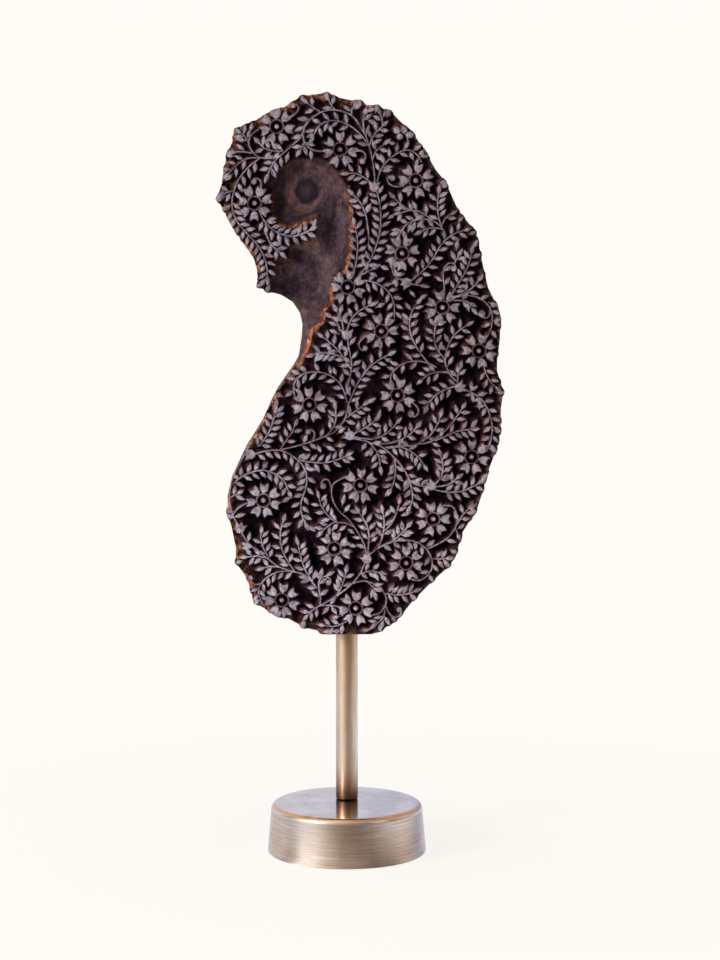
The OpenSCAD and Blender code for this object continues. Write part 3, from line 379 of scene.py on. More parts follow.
# points of a stem, leaves on its left and right, share of the stem before the first leaf, tip leaf's length;
# the curls are bare stems
sprays = [
    [[[14, 337], [13, 346], [11, 355], [8, 362], [3, 368.8], [-4, 371.6], [-11, 371.2], [-17, 367.7],
      [-20, 364], [-22, 359], [-26, 355], [-30, 351.5], [-34, 349], [-40, 348.5], [-44.5, 350.5],
      [-47.3, 355], [-46.3, 359.5], [-42.5, 362.6]]],
    [[[11, 354.5], [7, 360], [2, 364], [-4, 366.5], [-9, 366.3], [-13, 364.3], [-15.7, 360]], 4, 5, .38, 5],
    [[[-20.3, 364], [-20.9, 359], [-19.5, 355], [-15.5, 352.3], [-10, 351.8]], 1, 1, .3, 0],
    [[[-20.2, 356], [-22, 353]], 1, 1, .2, 4.6],
    [[[-30.5, 351], [-34, 348], [-36.5, 344.5], [-38, 341]], 3, 2, .1, 4.6],
    [[[-42, 348.8], [-48, 348.4], [-52, 346.2], [-55, 343.6], [-57, 341.4]], 2, 3, .35, 4.6],
    [[[-46, 351], [-50, 351.6], [-53.5, 351.6]], 0, 0, 0, 4.6],
    [[[-47.5, 356], [-49.3, 359], [-51, 360.6]], 2, 2, .1, 4.4],
    [[[-30.5, 352], [-35, 352], [-39.5, 353.2], [-42, 355.6]], 3, 3, .08, 4.2],
    [[[-42, 348.5], [-47, 344.8], [-51, 340.3], [-54, 335], [-55.6, 329]], 5, 0, .08, 0],
    [[[-55.6, 329], [-55.4, 323.5], [-53, 317.5], [-48.2, 311.8], [-43.5, 306.6], [-40.5, 301.5],
      [-38.9, 296], [-38.7, 291.5]], 11, 12, .03, 4.8],
    [[[-54.8, 333], [-58.5, 331.8]], 0, 1, .3, 4.4],
    [[[-42.5, 323.5], [-40.5, 319], [-36, 314], [-31, 311.5], [-26, 310.7], [-21, 312], [-18, 313.6]],
     7, 7, .2, 4.2],
    [[[-39.5, 317], [-38.7, 311], [-36.5, 306.5], [-32.5, 303]], 1, 2, .55, 4.8],
    [[[-13, 371.2], [-16, 373], [-18.6, 375]], 1, 1, .25, 4.4],
    [[[-5.2, 371.6], [-7.2, 374], [-8.2, 376]], 1, 1, .2, 4.2],
    [[[2.7, 369], [2.7, 372.2], [3.6, 373.6]], 1, 1, .3, 3.8],
    [[[8.8, 361], [8.2, 366], [8.8, 369.3]], 0, 1, .45, 4],
    [[[11.3, 354.5], [12.5, 358], [15, 361.5], [17.3, 363.6]], 2, 2, .25, 4.4],
    [[[17.8, 364.5], [17.4, 367.5], [16.6, 369.8]], 1, 1, .3, 4],
    [[[12.8, 348], [14.5, 352], [17.8, 354.8]], 1, 1, .4, 5],
    [[[15, 337], [16, 341], [18.5, 345.5], [22, 349], [26.5, 351.8], [31, 352.3], [34.8, 349.8],
      [36.6, 346.5]], 7, 5, .14, 0],
    [[[27.8, 352.8], [29.8, 356.2], [29.2, 359.4], [27.4, 361]]],
    [[[13, 336], [9, 339], [5, 341], [1.6, 341.2]], 3, 3, .12, 4.6],
    [[[-27.6, 368.2], [-24.4, 370.3], [-23.1, 372.8], [-24.4, 374.8]]],
    [[[-41.6, 333.5], [-41.6, 337.2], [-43.4, 338.6], [-45.4, 338.2]]],
    [[[4, 351.8], [7.2, 352.1], [9.4, 350.2], [9, 347.4]]],
    [[[28.2, 335.2], [24.5, 334.7], [21.3, 335.8], [20.1, 338.2], [21.2, 339.8]]],
    # across the belly of the block
    [[[5, 289.5], [8, 293.5], [11.3, 298.5], [14.2, 305], [16.2, 312], [16.8, 320], [16.2, 327],
      [14.6, 333]], 10, 10, .14, 0],
    [[[2.8, 291], [4.6, 297], [5.4, 303.5], [5.3, 310], [4.2, 316]], 5, 6, .12, 4.4],
    [[[11, 305], [10.8, 312], [9.7, 320], [7.5, 326], [4, 330.3]], 3, 3, .55, 4.6],
    [[[46.5, 315], [44.8, 321], [44.4, 327], [45, 331.3]], 3, 4, .2, 4.4],
    [[[47, 314.5], [43, 317.8], [38, 319], [33, 318.3], [29, 316], [26.5, 312.5], [25.3, 309.5]],
     3, 3, .35, 0],
    [[[42, 318.5], [37, 322], [32, 323.3], [27, 322.3]], 1, 3, .1, 4.8],
    [[[31, 323.3], [27.3, 325.6], [23.8, 328.8]], 2, 1, .3, 4.6],
    [[[47.5, 313.8], [44.5, 314.6], [40.5, 314.6], [37, 313.3]], 2, 2, .25, 4.4],
    [[[46.4, 316], [48.4, 319.4], [50.5, 321]], 0, 1, .3, 4.2],
    [[[31, 288.5], [35, 291.7], [39, 295.5], [42.5, 300], [45.2, 305], [48.5, 309], [53, 312],
      [57, 313.4]], 9, 7, .12, 4.8],
    [[[31, 287.3], [35.5, 286.8]], 1, 0, .4, 5.2],
    [[[51.5, 282.3], [55, 288], [58.2, 293.5], [60.2, 298.5], [61, 302]], 6, 5, .1, 4.4],
    [[[47.8, 280], [47.8, 286], [47.3, 290.5], [47.7, 294.6], [49.8, 297.3], [52.4, 297.3],
      [53.6, 295.4]], 1, 1, .25, 0],
    [[[52.8, 297.6], [54.4, 300.6]], 1, 1, .2, 4.6],
    [[[51.4, 280.4], [58, 281.8], [63, 281.2], [67, 279.3], [70, 276], [70.4, 273], [68.7, 270.8],
      [66.2, 271.4]]],
    [[[70.2, 276], [71.4, 272], [71, 266.5], [69, 261.6]], 3, 1, .06, 0],
    [[[53.5, 281.3], [58, 283], [62, 286], [64.4, 288.8]], 2, 2, .3, 4.2],
    [[[51.6, 279.4], [57.5, 279.2], [60, 278.2]], 1, 2, .45, 4.2],
    [[[6, 289], [12, 288.7], [17, 286.5], [21, 283], [23.2, 278], [23.4, 271]], 7, 5, .14, 0],
    [[[7.5, 292], [12, 294.3]], 1, 1, .35, 5.4],
    [[[28.5, 289.5], [24.5, 290.5], [22.8, 293], [21.8, 297.5]], 1, 2, .1, 0],
    [[[-1.5, 265], [-2.3, 270], [-4.4, 273.6]], 1, 2, .35, 4.2],
    [[[0.5, 265], [2, 269.5], [6, 274], [11, 276.7]], 4, 3, .12, 5],
    [[[-3, 264.5], [-4.5, 268.5], [-7.2, 271]], 1, 1, .2, 4.2],
    [[[2, 246], [-1.5, 251.5], [-5, 256], [-9, 259.5], [-11, 261]], 3, 4, .2, 4.6],
    [[[1.2, 239], [2, 243], [2.5, 249], [1, 257], [0.6, 260.5]], 3, 3, .1, 0],
    [[[1.8, 242], [1.1, 239.6]], 0, 0, 0, 4.2],
    [[[-2, 251.5], [-7, 253.2], [-12, 253.7], [-15.6, 253]], 4, 2, .2, 4.4],
    [[[0.5, 229], [-1.5, 235.5], [-4.5, 240], [-9, 243], [-15, 244.3], [-21, 243.3], [-25, 239.8],
      [-25.8, 235.5], [-25.2, 232]], 8, 7, .03, 0],
    [[[-43, 207.6], [-39, 213], [-36.5, 218.5], [-35.2, 223.6]], 4, 5, .1, 4.6],
    [[[-33, 205.5], [-30, 210], [-27, 214], [-25.6, 217.4]], 3, 2, .2, 4.4],
    [[[-17, 209.8], [-15.6, 212.4], [-16.2, 215], [-18.4, 216]]],
    [[[-32, 206], [-25, 207.6], [-18, 209.7], [-11, 212.3], [-6, 214.5]], 2, 2, .35, 0],
    [[[-6, 214.5], [-1, 220.5], [0.8, 227.5], [3.5, 234.5], [7, 241], [11.5, 246.8], [17, 250.8],
      [20, 252.4]], 6, 7, .4, 4.6],
    [[[-0.5, 221.5], [3.5, 224.3], [8, 227.6]], 2, 3, .15, 4.8],
    [[[-10, 212.8], [-6.8, 216.5], [-5.2, 221], [-5.4, 225.2]], 3, 2, .2, 4.6],
    [[[3, 212.3], [8, 211.5], [13, 211.2], [18, 213], [22, 216], [24.2, 218.6]], 3, 3, .5, 4.4],
    [[[2.5, 213.3], [6, 215], [10.5, 217.5], [13.6, 220]], 3, 3, .2, 4.4],
    [[[44, 246.5], [40, 248.6], [34.5, 249.6], [29, 248.8], [25, 246.5], [22, 243], [21.6, 239]],
     3, 3, .3, 0],
    [[[40, 248.8], [36.5, 253.3], [33.8, 257.5], [31.5, 263], [30.9, 269], [32.5, 275], [34, 277.3]],
     6, 6, .12, 4.6],
    [[[54.5, 239.3], [51, 242.8], [49, 247], [47.8, 251], [44.8, 254.8], [43.2, 260], [43.3, 265],
      [44.4, 269.5]], 6, 5, .33, 0],
    [[[48.4, 249.6], [49.3, 255.5], [51.5, 260.5], [55, 264.5], [58.5, 266.8]], 4, 3, .2, 4.6],
    [[[54.6, 239.5], [54.6, 243.5]], 1, 1, .5, 4.4],
    [[[53.5, 237.3], [49, 235.8], [44.5, 233.3], [41, 229.8], [39.9, 227.6]], 4, 4, .1, 4.4],
    [[[50.2, 244], [45, 244.2], [40.5, 243], [37.5, 240.8]], 2, 2, .3, 4.2],
    [[[57.5, 236], [63, 233.3], [67, 229.8], [69.5, 225.5], [71.2, 220.5], [71.6, 215], [70.8, 210],
      [69, 205.6]], 8, 7, .06, 0],
    [[[67, 248], [68.5, 243.5], [70.7, 239.3], [73, 237]], 2, 3, .15, 4.2],
    [[[32, 229.6], [35, 226.6], [35.2, 223.8], [33.2, 222]]],
    [[[10.4, 262.6], [6.5, 259], [6.7, 255.9], [8.6, 254.6]]],
    # lower part of the block
    [[[15, 208.6], [22, 209.3], [27, 211], [31.5, 213.8], [34.2, 216.6]], 3, 3, .45, 4.4],
    [[[19, 207], [26, 207.8], [33, 208], [38, 210.5], [42, 214], [45, 219], [46, 222]], 3, 3, .58, 4.6],
    [[[36, 208.6], [41, 209.8], [46, 213], [51, 218], [55, 223.5], [56.5, 226]], 2, 2, .72, 4.4],
    [[[40, 209.5], [47, 211.8], [54, 214.9], [61, 216]], 3, 5, .25, 4.6],
    [[[2.8, 211.6], [6.6, 210.8], [10.5, 209.8], [14, 206.3], [16, 202], [16.5, 198]], 3, 3, .42, 4.6],
    [[[10.8, 209.6], [17, 207.5], [22, 203.5], [27, 198], [30.5, 192], [32.2, 186], [32.5, 181],
      [31.5, 178]], 5, 3, .6, 4.4],
    [[[23.7, 201.5], [24.2, 196], [23.3, 190], [22.2, 187]], 3, 3, .2, 4.4],
    [[[20, 206.6], [26, 207.3], [31, 205.5], [35.5, 202], [37.7, 199]], 3, 5, .2, 4.6],
    [[[31.2, 190.6], [35, 188.5], [40.5, 187.6]], 1, 1, .5, 0],
    [[[43.5, 188.5], [46.8, 193], [47.5, 198], [46.6, 202.3]], 3, 4, .2, 4.2],
    [[[43.5, 187.5], [50, 188.5], [54, 191.4]], 1, 1, .7, 4.2],
    [[[43.4, 186], [50.5, 184.8], [56.5, 185.3], [62, 187.5], [64.6, 189]], 4, 5, .2, 4.4],
    [[[46.6, 178], [52, 177.8], [54.5, 173.5], [54.3, 169], [52, 164.5], [48, 160.7], [40, 156.6]]],
    [[[54.3, 168.5], [57, 173], [60, 176.4]], 2, 2, .15, 4.2],
    [[[53.6, 167], [54.8, 164.4]], 0, 0, 0, 3.6],
    [[[10.4, 154], [11.1, 163], [9.8, 169], [6.6, 174.2]], 3, 4, .3, 4.4],
    [[[15.6, 156.6], [18, 164], [18.6, 170], [17.9, 174.6]], 3, 3, .3, 4.4],
    [[[21.6, 159.8], [26, 163.3], [29.6, 167]], 3, 2, .12, 4.6],
    [[[18.4, 165.6], [21.5, 168.5], [24.5, 174], [25.8, 178.6]], 1, 1, .6, 4.4],
    [[[9.8, 153], [9.1, 157.7], [7.4, 161.6], [4.2, 167], [0.9, 171.4], [-2.7, 174.5], [-5.5, 178.2],
      [-7.1, 182.3], [-7.3, 186.4], [-5.6, 189.8], [1.4, 193.2]]],
    [[[-7.4, 187], [-8.6, 190.5], [-11, 191.1], [-12.5, 189]]],
    [[[3.6, 167.7], [-0.5, 169.5], [-5, 170], [-8.2, 172.3], [-10.5, 175], [-12.7, 178.6],
      [-13.4, 181.6]], 4, 5, .3, 4.4],
    [[[-5.5, 170.2], [-9.5, 167.7], [-11.8, 165.6]], 1, 2, .3, 4.2],
    [[[-46, 203.4], [-41, 205], [-35, 205.7], [-30, 204.8], [-25.5, 202], [-22, 198.8]], 0, 5, .15, 0],
    [[[-22, 198.8], [-20, 195], [-19.6, 190], [-20.5, 185.5], [-22.3, 180], [-22.3, 174.5],
      [-20.4, 169.8]], 6, 7, .05, 4.4],
    [[[-24, 200.8], [-18, 199.8], [-11, 199.4], [-5, 200.8], [-0.5, 202.7]], 6, 5, .06, 4.6],
    [[[-55.6, 189.2], [-52, 192.3], [-46.5, 194.8], [-41, 195.7], [-35.5, 194], [-31, 190.6],
      [-28.6, 185.5]], 8, 7, .12, 4.2],
    [[[-57.4, 182.2], [-54, 183.9]], 1, 1, .35, 3.8],
    [[[-56, 173.6], [-53, 177.3], [-47.6, 180]]],
    [[[-47.6, 208], [-52, 200.3], [-55.3, 194], [-57.2, 187], [-57.7, 181], [-56.3, 174.3], [-53.6, 168.5]]],
    [[[-15.2, 137.6], [-18.5, 141.8], [-22.5, 144.3], [-28, 145.8], [-33.5, 147.7], [-38, 151],
      [-43, 155], [-48, 159], [-51.8, 164.6]], 1, 1, .78, 0],
    [[[-38.2, 151.6], [-41.2, 157.5], [-42.3, 162.5], [-42.2, 164]], 2, 3, .15, 4.4],
    [[[-25.5, 145.2], [-29, 150.5], [-31.5, 155.5], [-32.7, 161], [-32.4, 166.5], [-31.4, 169.8]],
     5, 5, .12, 4.4],
    [[[-17, 140.6], [-20.3, 146], [-22.5, 152], [-23.7, 158]], 4, 5, .08, 5],
    [[[-25, 145], [-30, 145.6], [-35, 144.7], [-39.5, 142.2], [-42.8, 138.5], [-43.6, 134.5],
      [-41.8, 129.4]], 7, 0, .04, 0],
    [[[-33.2, 147.6], [-38, 147.8], [-40.5, 147.2]], 1, 1, .4, 4.6],
    [[[-39.2, 152], [-44, 153], [-48.6, 152.6]], 2, 2, .2, 4.6],
    [[[-42.3, 139.3], [-45.3, 138.9], [-47.4, 140.8]]],
    [[[-13.2, 128], [-13, 133], [-13.8, 138], [-13, 141.6], [-10.5, 142.9], [-8.2, 141.6],
      [-7.9, 139.7]], 2, 1, .12, 0],
    [[[-14, 127.8], [-8.5, 130.8], [-3, 134.5], [2.5, 139], [6.5, 144], [9.4, 150.4]]],
    [[[-13.5, 128.2], [-17, 125.8], [-19.2, 123.6]], 2, 2, .1, 4.2],
    [[[-13, 128.2], [-9, 128.4], [-4.5, 127.8], [-1, 126.6]], 1, 2, .25, 0],
    [[[-4.5, 133.8], [-2, 138.7], [-0.8, 143], [-0.5, 144.4]], 3, 2, .25, 4.6],
    [[[2.6, 139.2], [8, 140.6], [13, 139.4], [17.3, 136.5], [19.6, 132], [18.8, 127.5], [15.8, 124.3],
      [11, 123.2]]],
    [[[10.5, 140], [13.5, 137], [14, 135]], 1, 1, .3, 4.2],
    [[[7, 144.3], [11.5, 145.6], [15.5, 145]], 2, 2, .2, 4.4],
    [[[10, 152.8], [15, 156.5], [21, 159.6], [28, 161], [34.5, 160], [39, 157], [41.8, 152.5],
      [42.3, 147.8], [40.5, 144], [36.5, 141], [31.8, 141.4]], 0, 6, .2, 0],
    [[[41.8, 151.8], [46, 151.6], [49, 151.8]], 2, 2, .2, 4.2],
    [[[19.2, 134.3], [25, 133.6], [30, 134.1], [33, 135.1]], 4, 3, .15, 4.6],
    [[[19.2, 128.4], [21, 124.6], [23.6, 122.6], [26.3, 123.2], [27.2, 125.4]]],
    [[[0, 120.4], [-4, 118.4], [-8, 117.8], [-10.5, 118.2]], 2, 2, .12, 4.2],
    [[[19, 126], [18.2, 122.6], [15.8, 119.8], [14.6, 118.8]], 1, 2, .2, 4]]

# single leaves between the sprays: x, z of the foot, direction, length
singleLeaves = [
    [-17.9, 367.2, 178, 5.6], [-20.7, 363.7, 205, 5.2], [-21.3, 359.6, 194, 5.6], [-30.9, 352.4, 140, 5],
    [-28.2, 351, 252, 5], [-35.4, 346.6, 188, 4.9], [-56.6, 331.5, 245, 4.5], [-58.8, 330.2, 197, 5],
    [-55.6, 340.6, 225, 4.6], [-49.6, 352.2, 143, 4.9], [-46.6, 361.6, 78, 4.4], [-15.7, 360.2, 202, 4],
    [-8.4, 364.8, 290, 5], [10.7, 354.6, 168, 5.4], [8.1, 358.2, 163, 5], [13.1, 355.7, 23, 4.8],
    [24.5, 355.4, 166, 4.6], [17, 347.4, 123, 4.6], [17.3, 342.6, 6, 5], [9.8, 359.9, 74, 4.8],
    [14.8, 365.2, 160, 4.4], [9.9, 371.2, 22, 4.6], [35.1, 350.2, 33, 4.4], [32, 323, 110, 4.7],
    [-40.7, 317.9, 247, 4.8], [-39.1, 318.2, 18, 5], [-33.8, 304.6, 8, 4.8], [-39.2, 290.1, 224, 5.9],
    [-16.4, 314.5, 70, 4.8], [8.9, 323, 46, 5], [23.6, 321.3, 215, 4.3], [27, 321.7, 240, 4.3],
    [32.9, 319, 162, 4.5], [33.6, 317.9, 251, 5], [27.3, 313.5, 174, 5.3], [16.4, 296.1, 337, 5],
    [24.2, 291.7, 5, 4.4], [24, 289.7, 277, 4.2], [9.8, 288.2, 292, 5.6], [10.7, 276.9, 69, 5],
    [14.8, 276, 23, 4.6], [35.5, 280, 29, 5], [31.1, 284.1, 313, 4], [53.7, 304.2, 82, 4.6],
    [54.4, 317.6, 47, 4], [61.7, 304.8, 65, 4.8], [65.5, 280.2, 22, 4.5], [70, 278.2, 338, 4.6],
    [53.4, 283.7, 10, 4.5], [60.9, 276, 310, 5.2], [48, 287, 56, 4.7], [30.3, 267.3, 125, 3.9],
    [1.7, 247.9, 190, 5.3], [-5, 242.6, 107, 4.3], [2.9, 247.4, 28, 4.8], [-5, 229.5, 152, 5.2],
    [2, 229.5, 25, 5.2], [10, 228.9, 27, 5.6], [0, 220, 343, 4.7], [-4.4, 213.9, 35, 5.4],
    [15.2, 221, 72, 5], [-35, 226.4, 78, 5], [-34.1, 224.2, 43, 4.8], [1.6, 267.7, 355, 4.8],
    [-4.1, 263.1, 158, 5], [-22.8, 243.2, 160, 4.7], [23.9, 245.1, 158, 4.4], [41.7, 244.7, 155, 5],
    [49.9, 247.5, 57, 5.2], [55.5, 245, 71, 5.3], [53.3, 238.1, 140, 4.4], [61.1, 235.3, 90, 4.6],
    [62.5, 233.4, 191, 4.6], [66.4, 231.1, 193, 4.5], [68, 227.5, 187, 4.5], [61.1, 216.6, 55, 5.2],
    [42.1, 209.2, 339, 4.4], [-41.7, 208.1, 348, 4.8], [-43.2, 203.4, 325, 4.4], [-24, 201.1, 38, 4.8],
    [-22, 207.9, 331, 5.1], [-14.4, 208.2, 296, 4.1], [-10.2, 207.7, 337, 5.4], [-4.8, 207.6, 16, 4.6],
    [-54.8, 189.6, 343, 5], [-32.1, 179.8, 32, 5.5], [-55.2, 172.5, 13, 5.5], [-55.4, 172, 157, 4.4],
    [-19, 168.2, 321, 4.8], [-3.7, 165.6, 35, 4.8], [-43.6, 207.9, 93, 4.6], [7.6, 205.7, 54, 4.3],
    [11.6, 205.4, 232, 4], [16, 203.2, 337, 4.4], [22.7, 207, 301, 4.8], [23.5, 198.7, 231, 4],
    [22.4, 187, 232, 6], [31, 190.4, 237, 5.6], [29.1, 196.4, 13, 4], [33.2, 190.1, 19, 4.3],
    [46, 203.2, 142, 5.2], [-2.2, 178.2, 79, 5.7], [-1.2, 175, 54, 4.8], [6.3, 174.5, 164, 5],
    [4, 164.2, 150, 4.6], [7.6, 162, 173, 5], [11.9, 160.1, 36, 4.8], [17.6, 174.5, 152, 4.4],
    [31.6, 174.8, 203, 4.8], [26.9, 163.6, 352, 4.9], [36, 160.1, 27, 4.8], [49.1, 161.1, 347, 5.4],
    [55.1, 166.7, 34, 4], [-0.2, 202.3, 339, 4.6], [-18, 141.4, 205, 4.7], [-15.2, 137, 173, 4.8],
    [-16.7, 141.4, 69, 4.8], [-12.9, 142.3, 77, 5.2], [-10.2, 143.2, 25, 4.6], [-13.1, 133.4, 39, 5],
    [-8.6, 127.9, 229, 5.3], [-3.7, 122.9, 192, 4.4], [-7.5, 116.2, 195, 4.5], [-3, 115.6, 180, 4.4],
    [-3.7, 135.4, 125, 4.6], [-43.5, 136.9, 199, 4.9], [-43.7, 133.9, 236, 4.4], [-47.7, 158.2, 159, 4.4],
    [-38.1, 152.3, 69, 4.7], [-29.6, 149.2, 150, 5], [-22.4, 153.2, 59, 4.5], [-21.1, 121.4, 254, 4.2],
    [5, 157.9, 168, 4.8], [9.4, 157.1, 158, 4.8], [18.1, 158.4, 333, 5], [15.9, 155.1, 304, 5.6],
    [16.5, 144, 312, 5.4], [7, 145, 313, 4.5], [20.6, 134.8, 54, 5.2], [20.5, 134, 302, 4.8],
    [13.7, 137.1, 330, 4.2], [33.7, 160.4, 274, 4.4], [40.6, 144.2, 302, 5], [42.8, 148.6, 305, 4],
    [40, 157.9, 44, 4.6], [18.1, 120.7, 250, 5], [66, 190.6, 41, 5.6], [60.7, 176.4, 37, 4.6],
    [46.3, 191.1, 10, 4.8], [7.4, 115.6, 8, 4.6], [11.8, 117.4, 32, 4.2]]

hand = random.Random(12)  # small uneven touches of the cutter's hand


def splinePoints(points, steps=6):
    p = np.array(points, float)
    p = np.vstack([p[:1], p, p[-1:]])
    t = (np.arange(steps) / steps)[:, None]
    found = []
    for a, b, c, d in zip(p, p[1:], p[2:], p[3:]):
        found.append(0.5 * (2 * b + (c - a) * t + (2 * a - 5 * b + 4 * c - d) * t ** 2
                            + (3 * b - a - 3 * c + d) * t ** 3))
    return np.vstack(found + [p[-1:]])


def headings(line):
    d = np.gradient(line, axis=0)
    return d / np.linalg.norm(d, axis=1)[:, None]


def turned(shape, place, angle):  # a shape along +x, turned and set down at place
    c, s = math.cos(angle), math.sin(angle)
    return np.array(shape, float) @ np.array([[c, s], [-s, c]]) + np.array(place, float)


def wholeShape(half, length, halfWidth, start=0.0):  # mirrors a half outline
    upper = [(start + a * length, b * halfWidth) for a, b in half]
    return upper + [(x, -y) for x, y in reversed(upper) if y > 1e-6]


def roundShape(x, z, radius, steps):
    a = np.arange(steps) * 2 * math.pi / steps
    return np.column_stack([x + radius * np.cos(a), z + radius * np.sin(a)])


def leafAt(place, angle, length):
    width = carving["leafWidth"] * hand.uniform(*carving["leafWidths"])
    leaf = wholeShape(leafShape, length * hand.uniform(*carving["leafLengths"]), width / 2)
    return turned(leaf, place, angle + math.radians(hand.uniform(*carving["leafTurns"])))


def sprayShapes(points, leftLeaves=0, rightLeaves=0, bare=0, tipLeaf=0):
    line = splinePoints(points)
    way = headings(line)
    side = np.column_stack([-way[:, 1], way[:, 0]]) * carving["stemWidth"] / 2
    shapes = [np.vstack([line + side, (line - side)[::-1]])]
    along = np.concatenate([[0], np.cumsum(np.linalg.norm(np.diff(line, axis=0), axis=1))])
    for leaves, sign, first in ((leftLeaves, 1, 0), (rightLeaves, -1, 1)):
        for k in range(leaves):
            s = along[-1] * (bare + (1 - bare) * (k + carving["firstLeaf"][first]) / leaves)
            i = int(np.argmin(abs(along - s)))
            place = [np.interp(s, along, line[:, 0]), np.interp(s, along, line[:, 1])]
            angle = math.atan2(way[i][1], way[i][0]) + sign * math.radians(carving["leafAngle"])
            shapes.append(leafAt(place, angle, carving["leafLength"]))
    if tipLeaf:
        angle = math.atan2(way[-1][1], way[-1][0])
        shapes.append(leafAt(line[-1] - way[-1] * carving["tipBack"], angle, tipLeaf + carving["tipExtra"]))
    return shapes


def flowerShapes(x, z, turn):
    steps = carving["ringSteps"]
    outer = roundShape(x, z, carving["ringRadius"], steps)
    inner = roundShape(x, z, carving["ringRadius"] - carving["ringWidth"], steps)
    shapes = [np.array([outer[k], outer[(k + 1) % steps], inner[(k + 1) % steps], inner[k]])
              for k in range(steps)]
    shapes.append(roundShape(x, z, carving["dotRadius"], carving["dotSteps"]))
    root = carving["ringRadius"] - carving["ringWidth"] / 2
    for k in range(carving["petals"]):
        length = (carving["flowerRadius"] - root) * hand.uniform(*carving["petalLengths"])
        halfWidth = carving["petalWidth"] / 2 * hand.uniform(*carving["petalWidths"])
        angle = turn + k * 360 / carving["petals"] + hand.uniform(*carving["petalTurns"])
        petal = wholeShape(petalShape, length, halfWidth, root)
        shapes.append(turned(petal, (x, z), math.radians(angle)))
    return shapes


def tipShapes():
    loop = np.array(outline)
    length = carving["tipLength"]
    shapes = []
    for a, b, c in zip(np.roll(loop, 1, axis=0), loop, np.roll(loop, -1, axis=0)):
        u = (b - a) / np.linalg.norm(b - a)
        v = (c - b) / np.linalg.norm(c - b)
        turn = math.atan2(u[0] * v[1] - u[1] * v[0], u @ v)
        if math.degrees(turn) < -carving["tipTurn"] and b[1] > block["footZ"] + 0.5:
            out = (u - v) / np.linalg.norm(u - v)
            shapes.append(leafAt(b - out * length, math.atan2(out[1], out[0]), length))
    return shapes


def motifShapes():
    shapes = []
    for spray in sprays:
        shapes += sprayShapes(*spray)
    for x, z, turn, length in singleLeaves:
        turn = math.radians(turn)
        stalk = length * carving["singleStalk"]
        foot = (x - stalk * math.cos(turn), z - stalk * math.sin(turn))
        shapes.append(leafAt(foot, turn, length + stalk))
    for flower in flowers:
        shapes += flowerShapes(*flower)
    shapes += tipShapes()
    for x, z, turn in buds:
        shapes.append(turned(wholeShape(budShape, 1, 1), (x, z), math.radians(turn)))
    for x, z, radius in knobs:
        shapes.append(roundShape(x, z, radius, carving["knobSteps"]))
    return shapes


def dividedLoop(points, step):  # adds points so that no side is longer than step
    found = []
    for a, b in zip(points, points[1:] + points[:1]):
        a, b = np.array(a, float), np.array(b, float)
        count = max(1, math.ceil(np.linalg.norm(b - a) / step))
        found += [a + (b - a) * k / count for k in range(count)]
    return np.array(found)


def loopNormals(loop):  # outward on a loop that runs clockwise
    d = np.roll(loop, -1, axis=0) - np.roll(loop, 1, axis=0)
    d /= np.linalg.norm(d, axis=1)[:, None]
    return np.column_stack([-d[:, 1], d[:, 0]])


def insideLoop(points, loop):
    x, z = points[:, 0], points[:, 1]
    inside = np.zeros(len(points), bool)
    for (ax, az), (bx, bz) in zip(loop, np.roll(loop, -1, axis=0)):
        if az != bz:
            crosses = (az > z) != (bz > z)
            inside ^= crosses & (x < (bx - ax) * (z - az) / (bz - az) + ax)
    return inside


def pointTree(points):
    tree = kdtree.KDTree(len(points))
    for i, (x, z) in enumerate(points):
        tree.insert((x, z, 0), i)
    tree.balance()
    return tree


def nearest(tree, points):  # index of the nearest point and how far it is
    found = [tree.find((x, z, 0)) for x, z in points]
    return np.array([f[1] for f in found]), np.array([f[2] for f in found])


def leftward(shape):  # the same outline, running anticlockwise
    x, z = np.array(shape, float).T
    area = (x * np.roll(z, -1) - np.roll(x, -1) * z).sum()
    return shape if area > 0 else shape[::-1]


def carvedEdges(shapes, border):  # outline of all the shapes together, inside the border
    coords, faces = [], []
    for shape in map(leftward, [border] + shapes):
        faces.append(list(range(len(coords), len(coords) + len(shape))))
        coords += [Vector(p) for p in shape]
    verts, _, tris, _, _, sources = delaunay_2d_cdt(coords, [], faces, 1, 1e-3)
    verts = np.array([tuple(v) for v in verts])
    sides = set()
    for tri, source in zip(tris, sources):
        if 0 in source and len(source) > 1:  # inside the border and at least one carved shape
            a, b, c = verts[tri[0]], verts[tri[1]], verts[tri[2]]
            if (b[0] - a[0]) * (c[1] - a[1]) < (b[1] - a[1]) * (c[0] - a[0]):
                tri = tri[::-1]
            sides |= {(tri[0], tri[1]), (tri[1], tri[2]), (tri[2], tri[0])}
    edges = [(a, b) for a, b in sides if (b, a) not in sides]
    joined = list(range(len(verts)))  # merges the ends of very short edges

    def root(i):
        while joined[i] != i:
            i = joined[i]
        return i

    for a, b in sorted(edges):
        if np.linalg.norm(verts[a] - verts[b]) < carving["shortEdge"]:
            joined[root(b)] = root(a)
    kept = set()
    for a, b in edges:
        a, b = root(a), root(b)
        if a != b:
            if (b, a) in kept:
                kept.discard((b, a))
            else:
                kept.add((a, b))
    return verts, sorted(kept)


